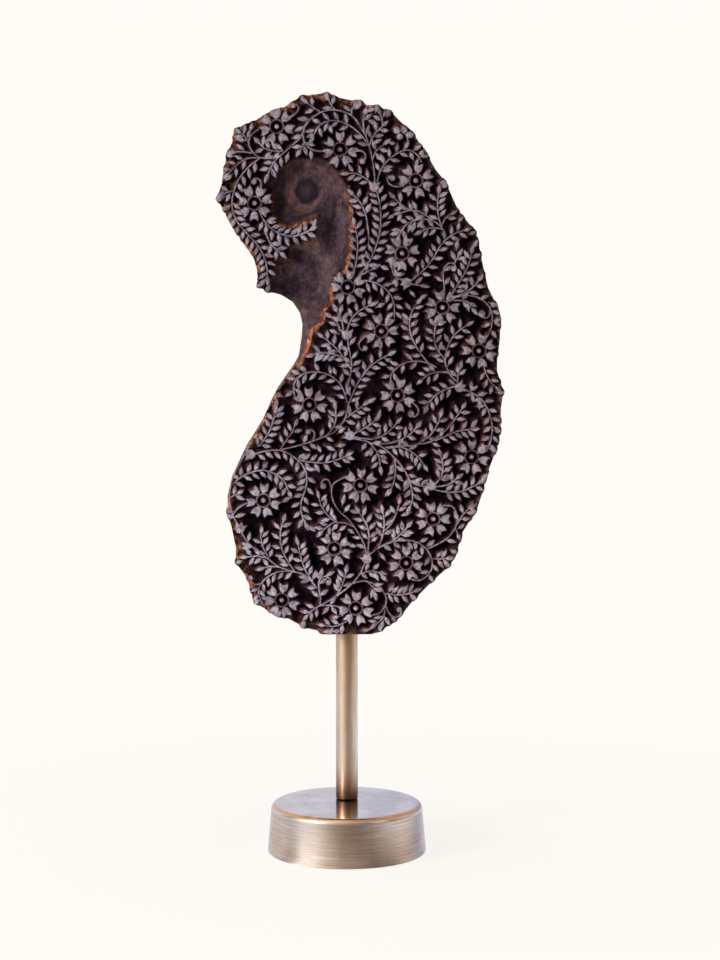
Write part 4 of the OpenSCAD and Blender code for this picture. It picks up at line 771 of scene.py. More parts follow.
def splitEdges(verts, edges, step):  # edge points with their outward normals
    used = sorted({i for e in edges for i in e})
    number = {v: k for k, v in enumerate(used)}
    points = [verts[v] for v in used]
    normals = [np.zeros(2) for _ in used]
    sides = []
    for a, b in edges:
        d = verts[b] - verts[a]
        length = np.linalg.norm(d)
        out = np.array([d[1], -d[0]]) / length
        count = max(1, math.ceil(length / step))
        chain = [number[a]]
        for k in range(1, count):
            chain.append(len(points))
            points.append(verts[a] + d * k / count)
            normals.append(out.copy())
        chain.append(number[b])
        normals[number[a]] += out
        normals[number[b]] += out
        sides += list(zip(chain, chain[1:]))
    normals = np.array(normals)
    normals /= np.maximum(np.linalg.norm(normals, axis=1), 1e-6)[:, None]
    return np.array(points), normals, sides


def spread(points, gap):  # drops points that fall in a cell already taken
    taken, kept = set(), []
    for i, (x, z) in enumerate(points):
        cell = (round(x / gap), round(z / gap))
        if cell not in taken:
            taken.add(cell)
            kept.append(i)
    return points[kept] if len(kept) else points


def softStep(t):
    t = np.clip(t, 0, 1)
    return t * t * (3 - 2 * t)


def uneven(points, height, size, seed):  # smooth noise, up to height either way
    return height * np.array([noise.noise((x / size, z / size, seed)) for x, z in points])


def groundPoints(border, step):
    low, high, shake = border.min(0), border.max(0), block["groundShake"]
    rows = []
    for k, z in enumerate(np.arange(low[1], high[1], step * block["groundRow"])):
        rows += [(x + step / 2 * (k % 2), z) for x in np.arange(low[0], high[0], step)]
    moved = [(hand.uniform(-shake, shake) * step, hand.uniform(-shake, shake) * step) for _ in rows]
    points = np.array(rows) + np.array(moved)
    return points[insideLoop(points, border)]


recessLine = dividedLoop(recess, block["recessStep"])
recessLine = recessLine + loopNormals(recessLine) * block["recessReach"]
recessTree = pointTree(recessLine)


def recessShare(points):  # 1 on the floor of the recess
    far = nearest(recessTree, points)[1] + uneven(points, *block["recessTear"])
    return np.where(insideLoop(points, recessLine), softStep(far / block["recessWall"]), 0.0)


def groundDepth(points, rimTree):  # behind the print face
    chisel = sum(uneven(points, *marks) for marks in block["chisel"])
    share = recessShare(points)
    floor = block["recessDepth"] + uneven(points, *block["recessWaves"])
    rise = 1 - block["rimRise"] * np.exp(-nearest(rimTree, points)[1] / block["rimRiseReach"])
    return (block["groundDepth"] + chisel) * rise * (1 - share) + floor * share


def carvedFace():  # the print face and the loops that it ends at
    sideLoop = dividedLoop(outline, block["sideStep"])
    sideOut = loopNormals(sideLoop)
    verts, edges = carvedEdges(motifShapes(), sideLoop - sideOut * block["reliefInset"])
    tops, normals, sides = splitEdges(verts, edges, block["edgeStep"])
    samples, sampleNormals, _ = splitEdges(verts, edges, block["sampleStep"])
    edgeTree = pointTree(samples)
    print("carved edges:", len(tops), "points")

    def measured(points):  # distance from the carved edges, above zero outside the tops
        index, far = nearest(edgeTree, points)
        outside = ((points - samples[index]) * sampleNormals[index]).sum(1) > 0
        return np.where(outside, far, -far)

    def stepped(side, offsets, least):  # points beside the carved edges, the widest offset that fits
        found, left = [], np.arange(len(tops))
        for offset in offsets:
            trial = tops[left] + normals[left] * offset * side
            fits = measured(trial) * side > offset * least
            found.append(trial[fits])
            left = left[~fits]
        return found

    # between the leaves that reach it, the rim is cut back a little
    notch = block["rimNotch"] * softStep((measured(sideLoop) - block["notchFrom"]) / block["notchWidth"])
    notch[sideLoop[:, 1] < block["footZ"] + block["footClear"]] = 0.0
    rimLoop = sideLoop - sideOut * notch[:, None]
    rimTree = pointTree(rimLoop)
    border = rimLoop - loopNormals(rimLoop) * block["rimInset"]

    inner = stepped(-1, block["topSteps"], block["topRoom"])
    inner = np.vstack([spread(points, gap) for points, gap in zip(inner, block["topGaps"])])
    outer = stepped(1, block["wallSteps"], block["wallRoom"])
    outer = spread(np.vstack(outer), block["wallGap"])
    step, least, gap = block["wallFoot"]
    second = tops + normals * step
    second = spread(second[measured(second) > least], gap)
    ground = groundPoints(border, block["groundStep"])
    ground = ground[measured(ground) > block["groundClear"]]
    even = insideLoop(ground, recessLine) & (nearest(recessTree, ground)[1] > block["recessEven"])
    ground = ground[~even | (np.arange(len(ground)) % block["recessThin"] == 0)]
    free = np.vstack([outer, second, ground])
    free = free[insideLoop(free, border) & (nearest(rimTree, free)[1] > block["rimClear"])]

    def wallDepth(points):
        far = np.maximum(measured(points), 0)
        deep = groundDepth(points, rimTree)
        return block["topRound"] + deep * (1 - np.exp(-block["wallSlope"] * far / deep))

    rounded = (1 - np.clip(-measured(inner) / block["roundWidth"], 0, 1)) ** block["topPower"]
    topDepth = np.concatenate([np.full(len(tops), block["topRound"]), block["topRound"] * rounded])
    topDepth += np.maximum(uneven(np.vstack([tops, inner]), *block["worn"]), 0)
    borderDepth = np.minimum(wallDepth(border), groundDepth(border, rimTree))
    depth = np.concatenate([borderDepth, topDepth, wallDepth(free)])
    first = len(border)
    found = delaunay_2d_cdt([Vector(p) for p in np.vstack([border, tops, inner, free])],
                            [(a + first, b + first) for a, b in sides], [list(range(first))], 1, 1e-4)
    flat, tris, origins = found[0], found[2], found[3]
    depths = [max(depth[i] for i in o) if o else block["topRound"] for o in origins]
    verts = [(v[0] * mm, (block["faceY"] + d) * mm, v[1] * mm) for v, d in zip(flat, depths)]
    rim = [None] * first  # where the border's points came out
    for k, origin in enumerate(origins):
        for i in origin:
            if i < first:
                rim[i] = k
    print("print face:", len(flat), "points,", len(tris), "triangles")
    return verts, [tuple(t) for t in tris], rim, rimLoop, sideLoop


def addSides(verts, faces, rim, rimLoop, sideLoop):  # out to the full outline and back to the rear edge
    wave = uneven(rimLoop, *block["sideWaves"])
    sideOut = loopNormals(sideLoop)
    sideOut = sum(np.roll(sideOut, k, 0) for k in range(-2, 3))
    sideOut /= np.linalg.norm(sideOut, axis=1)[:, None]
    rings = [rim]
    rows = [(rimLoop, loopNormals(rimLoop), 0.0, None)]
    rows += [(sideLoop, sideOut, inset, y) for inset, y in block["sideRings"]]
    for loop, out, inset, y in rows:
        start = len(verts)
        for i, (p, n) in enumerate(zip(loop, out)):
            flatFoot = p[1] < block["footZ"] + 0.01 and y != block["backY"]  # stays flat for the stand
            shift = 0.0 if flatFoot else inset + block["sideWave"] * (1 + wave[i])
            x, z = p - n * shift
            back = verts[rim[i]][1] + block["rimBack"] * mm if y is None else y * mm
            verts.append((x * mm, back, z * mm))
        rings.append(list(range(start, len(verts))))
    count = len(rim)
    for a, b in zip(rings, rings[1:]):
        faces += [(a[i], a[(i + 1) % count], b[(i + 1) % count], b[i]) for i in range(count)]
    return rings[-1]


def addShares(obj, rimLoop):  # numbers on the points that tell the wood where it is worn or bare, and where light and shade are painted
    place = np.array([(v.co.x / mm, v.co.z / mm) for v in obj.data.vertices])
    facing = np.array([(v.normal.x, v.normal.z) for v in obj.data.vertices]) @ block["litFrom"]
    rimIndex, rimFar = nearest(pointTree(rimLoop), place)
    level, slope = block["rimLit"]
    rimLit = softStep(level + slope * (loopNormals(rimLoop)[rimIndex] @ block["rimLitFrom"]))
    wallIndex, wallFar = nearest(recessTree, place)
    level, slope = block["wallLit"]
    wallLit = softStep(level + slope * (loopNormals(recessLine)[wallIndex] @ block["litFrom"]))
    ringMiddle = carving["ringRadius"] - carving["ringWidth"] / 2
    ringFar = nearest(pointTree([flower[:2] for flower in flowers]), place)[1] - ringMiddle
    reach = block["reach"]
    shares = {
        "flowerRing": np.exp(-(ringFar / reach["flowerRing"]) ** 2),
        # painted light on the rim's side towards the key light, painted shade on its other side
        "rim": np.exp(-rimFar / reach["rim"]) * rimLit,
        "dullRim": np.exp(-rimFar / reach["dullRim"]) * (1 - rimLit),
        "recess": recessShare(place),
        "chips": np.exp(-(wallFar / reach["chips"]) ** 2) * wallLit,
        "wallFoot": np.exp(-(wallFar / reach["wallFoot"]) ** 2),
        "litWall": np.clip(facing, 0, 1),
    }
    for name, values in shares.items():
        layer = obj.data.attributes.new(name, "FLOAT", "POINT")
        layer.data.foreach_set("value", values.astype(np.float32))


def buildBlock(mats):
    verts, faces, rim, rimLoop, sideLoop = carvedFace()
    faceCount = len(faces)
    rear = addSides(verts, faces, rim, rimLoop, sideLoop)
    sideCount = len(faces) - faceCount
    backLoop = [Vector((verts[i][0] / mm, verts[i][2] / mm)) for i in rear]
    cap = delaunay_2d_cdt(backLoop, [], [list(range(len(rear)))], 1, 1e-4)
    faces += [tuple(rear[cap[3][i][0]] for i in tri) for tri in cap[2]]
    faceMats = [0] * faceCount + [1] * sideCount + [2] * len(cap[2])
    obj = meshObject("carvedBlock", verts, faces, mats, faceMats, None, block["sharp"])
    radius, low, high = block["sleeveRadius"], block["boreFrom"], block["footZ"] + block["sleeveLength"]
    cutOut(obj, lathe("bore", [(0, low), (radius, low), (radius, high), (0, high)], mats[:1], None, turns=48))
    addShares(obj, rimLoop)
    movePoints(obj, 0, 0, -block["drop"])
    return obj


# wood of the print face: grey worn tops, brown walls and near-black ground, by depth; the fall to near-black
# is painted shade

wood = {
    "deepest": 10.0,  # millimetres at the end of the depth ramps
    "tops": [(0.0, (199, 195, 202)), (0.16, (189, 183, 190)), (0.32, (146, 130, 138)), (0.6, (92, 71, 82)),
             (1.1, (61, 40, 50)), (1.8, (36, 18, 29)), (2.6, (18, 6, 16)), (4.0, (8, 0, 8))],  # by depth; the darkening below the tops is painted shade
    "patches": [(0.36, grey(1.5)), (0.5, grey(1.0)), (0.63, grey(0.42))],  # patch by patch, how deep the colours reach before the painted shade
    "stain": [(0.3, (148, 145, 152)), (0.5, (224, 222, 226)), (0.66, (255, 255, 255))],  # dye in the pores
    "streak": [(0.35, (188, 184, 190)), (0.6, (255, 255, 255))],
    "warm": [(0.36, (255, 234, 228)), (0.55, (255, 255, 255))],
    "tone": [(0.36, (166, 158, 165)), (0.5, (226, 223, 227)), (0.62, (255, 255, 255))],
    "rightwardShade": [(0.0, (255, 255, 255)), (0.5, (252, 248, 247)), (1.0, (248, 239, 233))],  # left to right: painted shade, darker and warmer away from the key light on the left
    # painted shade: darker towards the top, where less of the floor's bounce light falls
    "upwardShade": [(0.0, (255, 255, 255)), (0.2, (249, 249, 250)), (0.4, (232, 231, 233)),
               (1.0, (229, 228, 230))],
    # painted light: brown on the walls that face the key light
    "litWalls": [(0.36, (30, 14, 21)), (0.5, (72, 40, 42)), (0.64, (116, 69, 63))],
    "ringTint": (206, 182, 176),  # the thin rings of the flowers are rubbed browner
    # painted shade on the rim's far side, then painted light on its side towards the key light
    "dullRim": [(0.36, (22, 12, 14)), (0.5, (60, 42, 42)), (0.64, (116, 94, 95))],
    "litRimColors": [(0.41, (30, 16, 17)), (0.49, (118, 70, 55)), (0.57, (214, 148, 114))],
    "wallFoot": (96, 58, 43),
    "specks": (138, 84, 60),
    # torn wood on the recess wall, shown only on its lit side as painted light
    "chips": [(0.34, (56, 31, 28)), (0.5, (130, 76, 56)), (0.64, (196, 130, 96))],
    "recessFloor": [(0.2, (24, 17, 27)), (0.4, (53, 40, 48)), (0.54, (78, 60, 65)), (0.68, (102, 78, 77)),
                    (0.85, (140, 98, 78))],
    "recessShade": [(0.0, (112, 106, 122)), (0.5, (205, 200, 208)), (1.0, (255, 255, 255))],  # from the left
    "knotPlace": (-19.5, 332.5),
    "knotRadius": 5.6,
    "knot": [(0.0, (74, 56, 60)), (0.1, (62, 48, 54)), (0.22, (48, 37, 45)), (0.33, (40, 30, 38)),
             (0.42, (62, 49, 56))],
    "rings": [(0.34, (160, 152, 164)), (0.44, (240, 232, 228)), (0.5, (190, 182, 190)),
              (0.57, (246, 238, 232)), (0.66, (196, 188, 196)), (0.76, (250, 244, 240)),
              (0.84, (216, 210, 216)), (1.0, (255, 255, 255))],
    # where a share begins and is full, for some with its two values
    "ranges": {
        "across": (-0.06, 0.07), "up": (0.11, 0.37), "litWall": (0.03, 0.07), "litWallEnd": (0.34, 0.2),
        "litPatches": (0.44, 0.58, 0.15, 1.0), "rim": (0.04, 0.12), "dullRim": (0.04, 0.1),
        "mottle": (0.22, 0.76), "knot": (0.42, 0.32), "leftWall": (-0.039, -0.02), "wallFoot": (0.42, 0.58),
        "specks": (0.63, 0.73, 0.0, 0.75), "recess": (0.05, 0.16), "chips": (0.05, 0.1), "torn": (1.18, 1.5),
    },
    # scale, detail, roughness, stretch, distortion
    "noises": {
        "patches": (70, 4), "fine": (800, 5, 0.65), "grain": (420, 4, 0.6, (2.4, 1, 0.35)), "warm": (120, 3),
        "tone": (330, 2), "bare": (170, 4, 0.6), "rim": (250, 5, 0.62), "dullRim": (260, 4),
        "mottle": (60, 5, 0.6, (1.3, 1, 0.75), 0.8), "fineMottle": (380, 5, 0.75), "wobble": (110, 3),
        "specks": (230, 4, 0.65, (1.3, 1, 0.7)), "torn": (300, 5, 0.65),
    },
}


def carvedWood():
    mat, tree, shader = newMaterial("carvedWood", (120, 110, 114), 0.62)
    x, y, z = axes(tree)
    noises = {name: addNoise(tree, *values) for name, values in wood["noises"].items()}
    ramps = {name: addRamp(tree, noises[source], wood[name])
             for name, source in (("patches", "patches"), ("stain", "fine"), ("streak", "grain"))}

    def ranged(source, name):
        return addRange(tree, source, *wood["ranges"][name])

    # painted shade: the colour falls from grey tops to near-black with depth
    depth = times(tree, addMath(tree, "ADD", y, -block["faceY"] * mm), 1 / (wood["deepest"] * mm))
    stops = [(millimetres / wood["deepest"], color) for millimetres, color in wood["tops"]]
    color = addRamp(tree, times(tree, depth, ramps["patches"]), stops)
    color = mixColor(tree, 0.8, color, ramps["stain"], "MULTIPLY")
    color = mixColor(tree, 0.5, color, ramps["streak"], "MULTIPLY")
    color = tinted(tree, color, 0.8, noises["warm"], wood["warm"])
    color = tinted(tree, color, 0.85, noises["tone"], wood["tone"])
    # painted shade over the face: darker to the right and towards the top
    across = addRamp(tree, ranged(x, "across"), wood["rightwardShade"])
    across = tinted(tree, across, 1.0, ranged(z, "up"), wood["upwardShade"])
    color = mixColor(tree, 1.0, color, across, "MULTIPLY")
    rubbed = mixColor(tree, 1.0, color, linear(*wood["ringTint"]), "MULTIPLY")
    color = mixColor(tree, vertexShare(tree, "flowerRing"), color, rubbed)

    # painted light: brown on the walls that face the key light and along the lit side of the outer rim, with
    # painted shade on its other side
    share = times(tree, vertexShare(tree, "litWall"), ranged(depth, "litWall"),
                  ranged(depth, "litWallEnd"), ranged(noises["bare"], "litPatches"))
    color = mixColor(tree, share, color, addRamp(tree, noises["bare"], wood["litWalls"]))
    share = times(tree, vertexShare(tree, "rim"), ranged(depth, "rim"), 1.3)
    color = mixColor(tree, share, color, addRamp(tree, noises["rim"], wood["litRimColors"]))
    share = times(tree, vertexShare(tree, "dullRim"), ranged(depth, "dullRim"))
    color = mixColor(tree, share, color, addRamp(tree, noises["dullRim"], wood["dullRim"]))

    # the bare recess, mottled, with a knot and its rings
    mottle = addMath(tree, "ADD", times(tree, noises["mottle"], 0.58),
                     times(tree, noises["fineMottle"], 0.42))
    floor = addRamp(tree, ranged(mottle, "mottle"), wood["recessFloor"])
    knotX, knotZ = wood["knotPlace"]
    knotCentre = addNode(tree, "CombineXYZ", X=knotX * mm, Z=(knotZ - block["drop"]) * mm)
    flat = addNode(tree, "CombineXYZ")
    tree.links.new(x, flat.inputs[0])
    tree.links.new(z, flat.inputs[2])
    far = join(tree, flat, addNode(tree, "VectorMath", {"operation": "DISTANCE"}))
    join(tree, knotCentre, far, 0, 1)
    wobble = times(tree, addMath(tree, "SUBTRACT", noises["wobble"], 0.5), 0.005)
    radius = addMath(tree, "ADD", far.outputs["Value"], wobble)
    radius = times(tree, radius, 1 / (3 * wood["knotRadius"] * mm))
    floor = tinted(tree, floor, 0.55, radius, wood["rings"])
    knot = mixColor(tree, 0.7, addRamp(tree, radius, wood["knot"]), ramps["stain"], "MULTIPLY")
    floor = mixColor(tree, ranged(radius, "knot"), floor, knot)
    floor = mixColor(tree, 0.5, floor, ramps["streak"], "MULTIPLY")
    fromLeft = ranged(addMath(tree, "ADD", x, wobble), "leftWall")
    floor = tinted(tree, floor, 1.0, fromLeft, wood["recessShade"])
    share = times(tree, vertexShare(tree, "wallFoot"), ranged(noises["bare"], "wallFoot"))
    floor = mixColor(tree, share, floor, linear(*wood["wallFoot"]))
    share = ranged(noises["specks"], "specks")
    floor = mixColor(tree, share, floor, linear(*wood["specks"]))
    share = times(tree, vertexShare(tree, "recess"), ranged(depth, "recess"))
    color = mixColor(tree, share, color, floor)

    # torn orange wood along the recess's wall, kept to its lit side as painted light
    share = times(tree, vertexShare(tree, "chips"), ranged(depth, "chips"))
    share = ranged(addMath(tree, "ADD", share, times(tree, noises["torn"], 1.5)), "torn")
    color = mixColor(tree, share, color, addRamp(tree, noises["torn"], wood["chips"]))
    dress(tree, shader, color, roughRamp(tree, noises["fine"], 0.55, 0.75))
    addBump(tree, shader, mixColor(tree, 0.5, noises["fine"], noises["grain"]), 0.4, 0.0004)
    shader.inputs["Specular IOR Level"].default_value = 0.04
    return mat


def sideWood(name, dark, mid, light, stretch, cloud):
    mat, tree, shader = newMaterial(name, mid, 0.7)
    marks = addNoise(tree, 260, 4, 0.6, stretch)
    base = addRamp(tree, addNoise(tree, 60, 5, 0.6, cloud, 0.6), [(0.3, dark), (0.52, mid), (0.72, light)])
    dress(tree, shader, tinted(tree, base, 0.8, marks, [(0.3, (150, 140, 138)), (0.62, (255, 255, 255))]))
    addBump(tree, shader, marks, 0.5, 0.0006)
    shader.inputs["Specular IOR Level"].default_value = 0.3
    return mat


blockMats = [
    carvedWood(),
    sideWood("blockSide", (34, 20, 19), (78, 45, 36), (128, 78, 56), (1, 0.25, 1), (1, 1, 1)),
    sideWood("blockBack", (58, 38, 28), (92, 62, 44), (124, 88, 62), (1.2, 1, 0.07), (1.5, 1, 0.16)),
]
blockPiece = buildBlock(blockMats)
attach(blockPiece, "block")
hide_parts("printing_block")
print("block carved:", len(blockPiece.data.polygons), "faces")

# the grip on the back, held by four slotted brass screws

grip = {
    "x": 12.0,  # from the post's axis
    "z": 238.6,
    "width": 26.0,
    "length": 120.0,
    "height": 36.0,
    "bar": 15.0,  # thickness of the bar
    "foot": 18.0,
    "tab": (17.0, 10.0),  # length and thickness of the screwed ends
    "tabRound": 3.0,  # where the bar meets them
    "corner": 8.0,
    "edge": 2.4,  # rounding worn by the hand
    "edgeSteps": 4,
    "edgeAngle": 50,  # degrees between faces that are rounded
    "sharp": 40,
}
woodScrew = {
    "shank": 2.0,
    "head": 4.0,
    "length": 22.0,
    "point": 5.0,  # tapered end
    "gap": 13.0,  # between the two screws of a tab
    "room": 0.06,  # added to the holes
    "holeTop": 0.4,  # how far the hole's cutter comes out of the tab
    "sunk": 0.1,  # the head's top under the tab's face
    "rim": 0.15,  # the same for the head's widest line
    "tip": 0.4,  # small end of the point: share of the shank, length
    "slot": 1.0,
    "slotDepth": 1.1,
    "slotTurns": (20, 75, 140, 100),
}


def gripProfile():  # up the block, away from its back
    half, (tab, thick), inside = grip["length"] / 2, grip["tab"], grip["tabRound"]
    gapHalf, gapHeight, corner = half - grip["foot"], grip["height"] - grip["bar"], grip["corner"]
    right = [(gapHalf, 0), (half + tab, 0), (half + tab, thick), (half + inside, thick)]
    right += arc(half + inside, thick + inside, inside, 270, 180, 4)[1:]
    right += arc(half - corner, grip["height"] - corner, corner, 0, 90, 8)
    hollow = arc(gapHalf - corner, gapHeight - corner, corner, 0, 90, 8)
    left = [(-u, v) for u, v in reversed(right)]
    return right + left + [(-u, v) for u, v in hollow] + hollow[::-1]


def buildGrip(mats):
    profile = gripProfile()
    back, count = block["backY"], len(profile)
    verts = [((grip["x"] + side * grip["width"] / 2) * mm, (back + v) * mm, (grip["z"] + u) * mm)
             for side in (-1, 1) for u, v in profile]
    faces = [tuple(range(count)), tuple(range(2 * count - 1, count - 1, -1))]
    faces += [(i, (i + 1) % count, (i + 1) % count + count, i + count) for i in range(count)]
    obj = meshObject("backGrip", verts, faces, mats)
    bevel = obj.modifiers.new("worn", "BEVEL")
    bevel.width, bevel.segments = grip["edge"] * mm, grip["edgeSteps"]
    bevel.limit_method, bevel.angle_limit = "ANGLE", math.radians(grip["edgeAngle"])
    applyModifiers(obj)
    for place in screwPlaces():
        cutOut(obj, screwBody("hole", mats, place, woodScrew["room"]))
    shadeSmooth(obj.data, grip["sharp"])
    return obj


def screwPlaces():
    reach = grip["length"] / 2 + grip["tab"][0] / 2
    return [(grip["x"] + dx, block["backY"] + grip["tab"][1], grip["z"] + dz)
            for dx in (-woodScrew["gap"] / 2, woodScrew["gap"] / 2) for dz in (-reach, reach)]


def screwBody(name, mats, place, room=0.0):
    shank, head, length = woodScrew["shank"] + room, woodScrew["head"] + room, woodScrew["length"]
    top, tip = woodScrew["holeTop"] if room else -woodScrew["sunk"], woodScrew["tip"]
    profile = [(0, -length), (shank * tip, -length + tip), (shank, -length + woodScrew["point"]),
               (shank, shank - head), (head, -woodScrew["rim"]), (head, top), (0, top)]
    obj = lathe(name, profile, mats, None, turns=40)
    for v in obj.data.vertices:  # turns its axis from z to y
        x, y, z = v.co
        v.co = (x + place[0] * mm, z + place[1] * mm, -y + place[2] * mm)
    return obj


def buildScrews(mats):
    screws = []
    w, r, deep = woodScrew["slot"] / 2, woodScrew["head"] + 1, woodScrew["slotDepth"]
    boxFaces = [(0, 1, 2, 3), (7, 6, 5, 4), (0, 4, 5, 1), (1, 5, 6, 2), (2, 6, 7, 3), (3, 7, 4, 0)]
    for k, place in enumerate(screwPlaces()):
        screw = screwBody(f"screw{k}", mats, place)
        turn = math.radians(woodScrew["slotTurns"][k])
        corners = [(u * math.cos(turn) - v * math.sin(turn), u * math.sin(turn) + v * math.cos(turn))
                   for u, v in ((-r, -w), (r, -w), (r, w), (-r, w))]
        verts = [((place[0] + u) * mm, (place[1] + y) * mm, (place[2] + v) * mm)
                 for y in (-deep, 1) for u, v in corners]
        cutOut(screw, meshObject("slot", verts, boxFaces, mats))
        screws.append(screw)
    with bpy.context.temp_override(active_object=screws[0], selected_editable_objects=screws):
        bpy.ops.object.join()
    screws[0].name = screws[0].data.name = "gripScrews"
    return screws[0]


def gripWood():
    mat, tree, shader = newMaterial("gripWood", (118, 76, 46), 0.5)
    rings = addNoise(tree, 28, 5, 0.55, (3.2, 3.2, 0.28), 0.8)
    pores = addNoise(tree, 700, 3, 0.6, (1, 1, 0.08))
    color = addRamp(tree, rings, [(0.28, (72, 42, 25)), (0.5, (118, 74, 44)), (0.7, (146, 98, 60))])
    color = tinted(tree, color, 0.7, pores, [(0.3, (140, 126, 116)), (0.55, (255, 255, 255))])
    smudges = [(0.35, (150, 138, 130)), (0.6, (255, 255, 255))]
    color = tinted(tree, color, 0.7, addNoise(tree, 40, 4), smudges)
    dress(tree, shader, color, roughRamp(tree, rings, 0.36, 0.55))
    addBump(tree, shader, pores, 0.25, 0.0003)
    return mat


def brass(name, color, dark, rough, lines=None, bumpDepth=0.00004, shadeByHeight=None):
    mat, tree, shader = newMaterial(name, color, rough, 1.0)
    brushed = addNoise(tree, 60, 3 if lines else 6, 0.7, lines or (1, 1, 1))
    base = addRamp(tree, addNoise(tree, 45, 4, 0.6), [(0.3, dark), (0.62, color)])
    base = tinted(tree, base, 0.75, brushed, [(0.3, (172, 160, 150)), (0.6, (255, 255, 255))])
    if shadeByHeight:  # colours by height in millimetres; on the post the dark foot is a painted reflection
        low, high = shadeByHeight[0][0], shadeByHeight[-1][0]
        stops = [((z - low) / (high - low), tint) for z, tint in shadeByHeight]
        base = tinted(tree, base, 1.0, addRange(tree, axes(tree)[2], low * mm, high * mm), stops)
    dress(tree, shader, base, roughRamp(tree, brushed, rough * 1.35, rough * 0.75))
    addBump(tree, shader, brushed, 0.5, bumpDepth)
    return mat


gripPiece = buildGrip([gripWood()])
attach(gripPiece, "block")
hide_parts("block_handle")
screwPiece = buildScrews([brass("screwBrass", (168, 132, 78), (112, 84, 46), 0.35)])
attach(screwPiece, "block")
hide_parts("handle_screws")
print("grip and screws ready")

# the brass stand

stand = {
    "baseRadius": 39.69,
    "baseTopRadius": 37.9,
    "baseHeight": 25.2,
    "baseForward": 8.6,  # the base's middle stands in front of the post
    "baseFoot": 0.8,  # rounding at the table
    "edge": 3.0,
    "rimLift": 0.6,
    "wall": 1.5,
    "boltHole": 3.03,
    "postRadius": 5.5,
    "postWall": 1.2,
    "postTop": 110.6,
    "postBevel": 0.5,
    # the post's tint by height; its dark foot is a painted reflection of the base's top
    "shadeByHeight": [(25, (80, 66, 60)), (29, (146, 128, 120)), (34, (206, 194, 188)), (42, (246, 243, 241)),
                (60, (255, 255, 255)), (95, (250, 240, 226)), (111, (234, 214, 190))],
    "felt": (36.1, 2.0),  # radius and thickness
    "feltEdge": 0.7,
}


def buildStand():
    sideBrass = brass("brushedSide", (214, 190, 170), (206, 180, 158), 0.2, (0.8, 0.8, 46), 0.000028)
    topBrass = brass("polishedTop", (206, 190, 182), (202, 185, 177), 0.1)
    # painted reflection: the rounded edge's copper tint stands in for the orange-brown that it mirrors
    reflectedEdgeBrass = brass("edgeReflection", (222, 166, 126), (210, 168, 140), 0.2)
    postBrass = brass("postBrass", (220, 195, 171), (208, 178, 150), 0.38, (1.5, 1.5, 0.15),
                      shadeByHeight=stand["shadeByHeight"])
    outR, topR, high, edge = stand["baseRadius"], stand["baseTopRadius"], stand["baseHeight"], stand["edge"]
    lift, wall, hole, foot = stand["rimLift"], stand["wall"], stand["boltHole"], stand["baseFoot"]
    profile = [(outR - wall, lift), (outR - foot, lift)] + arc(outR - foot, lift + foot, foot, -60, 0, 3)
    rise = high - edge - lift - foot
    profile += [(outR + (topR - outR) * k / 6, lift + foot + rise * k / 6) for k in range(1, 6)]
    edgeStart = len(profile) + 4  # the coppery metal, a painted reflection, is the middle of the rounded edge
    profile += arc(topR - edge, high - edge, edge, 0, 90, 10)
    topStart = len(profile) - 3
    profile += [(topR - edge - 8, high), (16, high), (0, high), (0, high - wall), (topR - wall, high - wall)]
    insideStart = len(profile) - 2
    matOf = [0] * edgeStart + [2] * (topStart - edgeStart) + [1] * (insideStart - topStart) + [0, 0]
    base = lathe("baseCover", profile, [sideBrass, topBrass, reflectedEdgeBrass], None, matOf, 192)
    movePoints(base, 0, -stand["baseForward"], 0)
    cutOut(base, lathe("boltHole", [(0, high - 9), (hole, high - 9), (hole, high + 1), (0, high + 1)],
                       [sideBrass], None, turns=48))
    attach(base, "stand")
    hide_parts("base_cover")

    r, w, top, bevel = stand["postRadius"], stand["postWall"], stand["postTop"], stand["postBevel"]
    profile = [(r - w, high), (r - bevel, high), (r, high + bevel * 1.3), (r, high + 20), (r, high + 45),
               (r, top - 20), (r, top - bevel), (r - bevel, top), (r - w, top)]
    post = lathe("post", profile, [postBrass], "stand", None, 96)
    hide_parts("post_tube")

    (feltR, feltT), soft = stand["felt"], stand["feltEdge"]
    profile = [(0, 0), (feltR * 0.5, 0), (feltR - soft, 0)] + arc(feltR - soft, soft, soft, -70, 0, 4)
    profile += [(feltR, feltT), (0, feltT)]
    felt = lathe("feltPad", profile, [feltCloth()], None, None, 128)
    movePoints(felt, 0, -stand["baseForward"], 0)
    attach(felt, "stand")
    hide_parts("felt_pad")
    return postBrass


def feltCloth():
    mat, tree, shader = newMaterial("greenFelt", (52, 66, 54), 0.95)
    hairs = addNoise(tree, 1400, 4, 0.7)
    clumps = [(0.3, (190, 190, 190)), (0.7, (255, 255, 255))]
    tone = addRamp(tree, hairs, [(0.3, (34, 46, 37)), (0.7, (74, 90, 76))])
    dress(tree, shader, tinted(tree, tone, 0.8, addNoise(tree, 160, 4, 0.6), clumps))
    shader.inputs["Sheen Weight"].default_value = 0.3
    addBump(tree, shader, hairs, 0.8, 0.0004)
    return mat


def plainMetal(name, color, rough):
    mat, tree, shader = newMaterial(name, color, rough, 1.0)
    worn = addNoise(tree, 180, 5, 0.6)
    dull = tuple(c * 0.75 for c in color)
    dress(tree, shader, addRamp(tree, worn, [(0.3, dull), (0.65, color)]),
          roughRamp(tree, worn, rough * 1.4, rough * 0.8))
    addBump(tree, shader, worn, 0.15, 0.0002)
    return mat


postBrass = buildStand()
turnedBrass = brass("turnedBrass", (196, 160, 104), (164, 126, 76), 0.28, (0.4, 0.4, 30))
steel = plainMetal("plainSteel", (168, 168, 170), 0.35)
iron = plainMetal("castIron", (70, 68, 66), 0.7)
finishes = {
    postBrass: ["swivel_spigot"],
    turnedBrass: ["socket_sleeve", "top_bush", "foot_plug"],
    steel: ["base_bolt", "bolt_washer", "base_plate", "plate_screws"],
    iron: ["base_weight"],
}
for mat, names in finishes.items():
    for name in names:
        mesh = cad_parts[name].data
        mesh.materials.clear()
        mesh.materials.append(mat)
print("stand ready")

# floor, light and camera

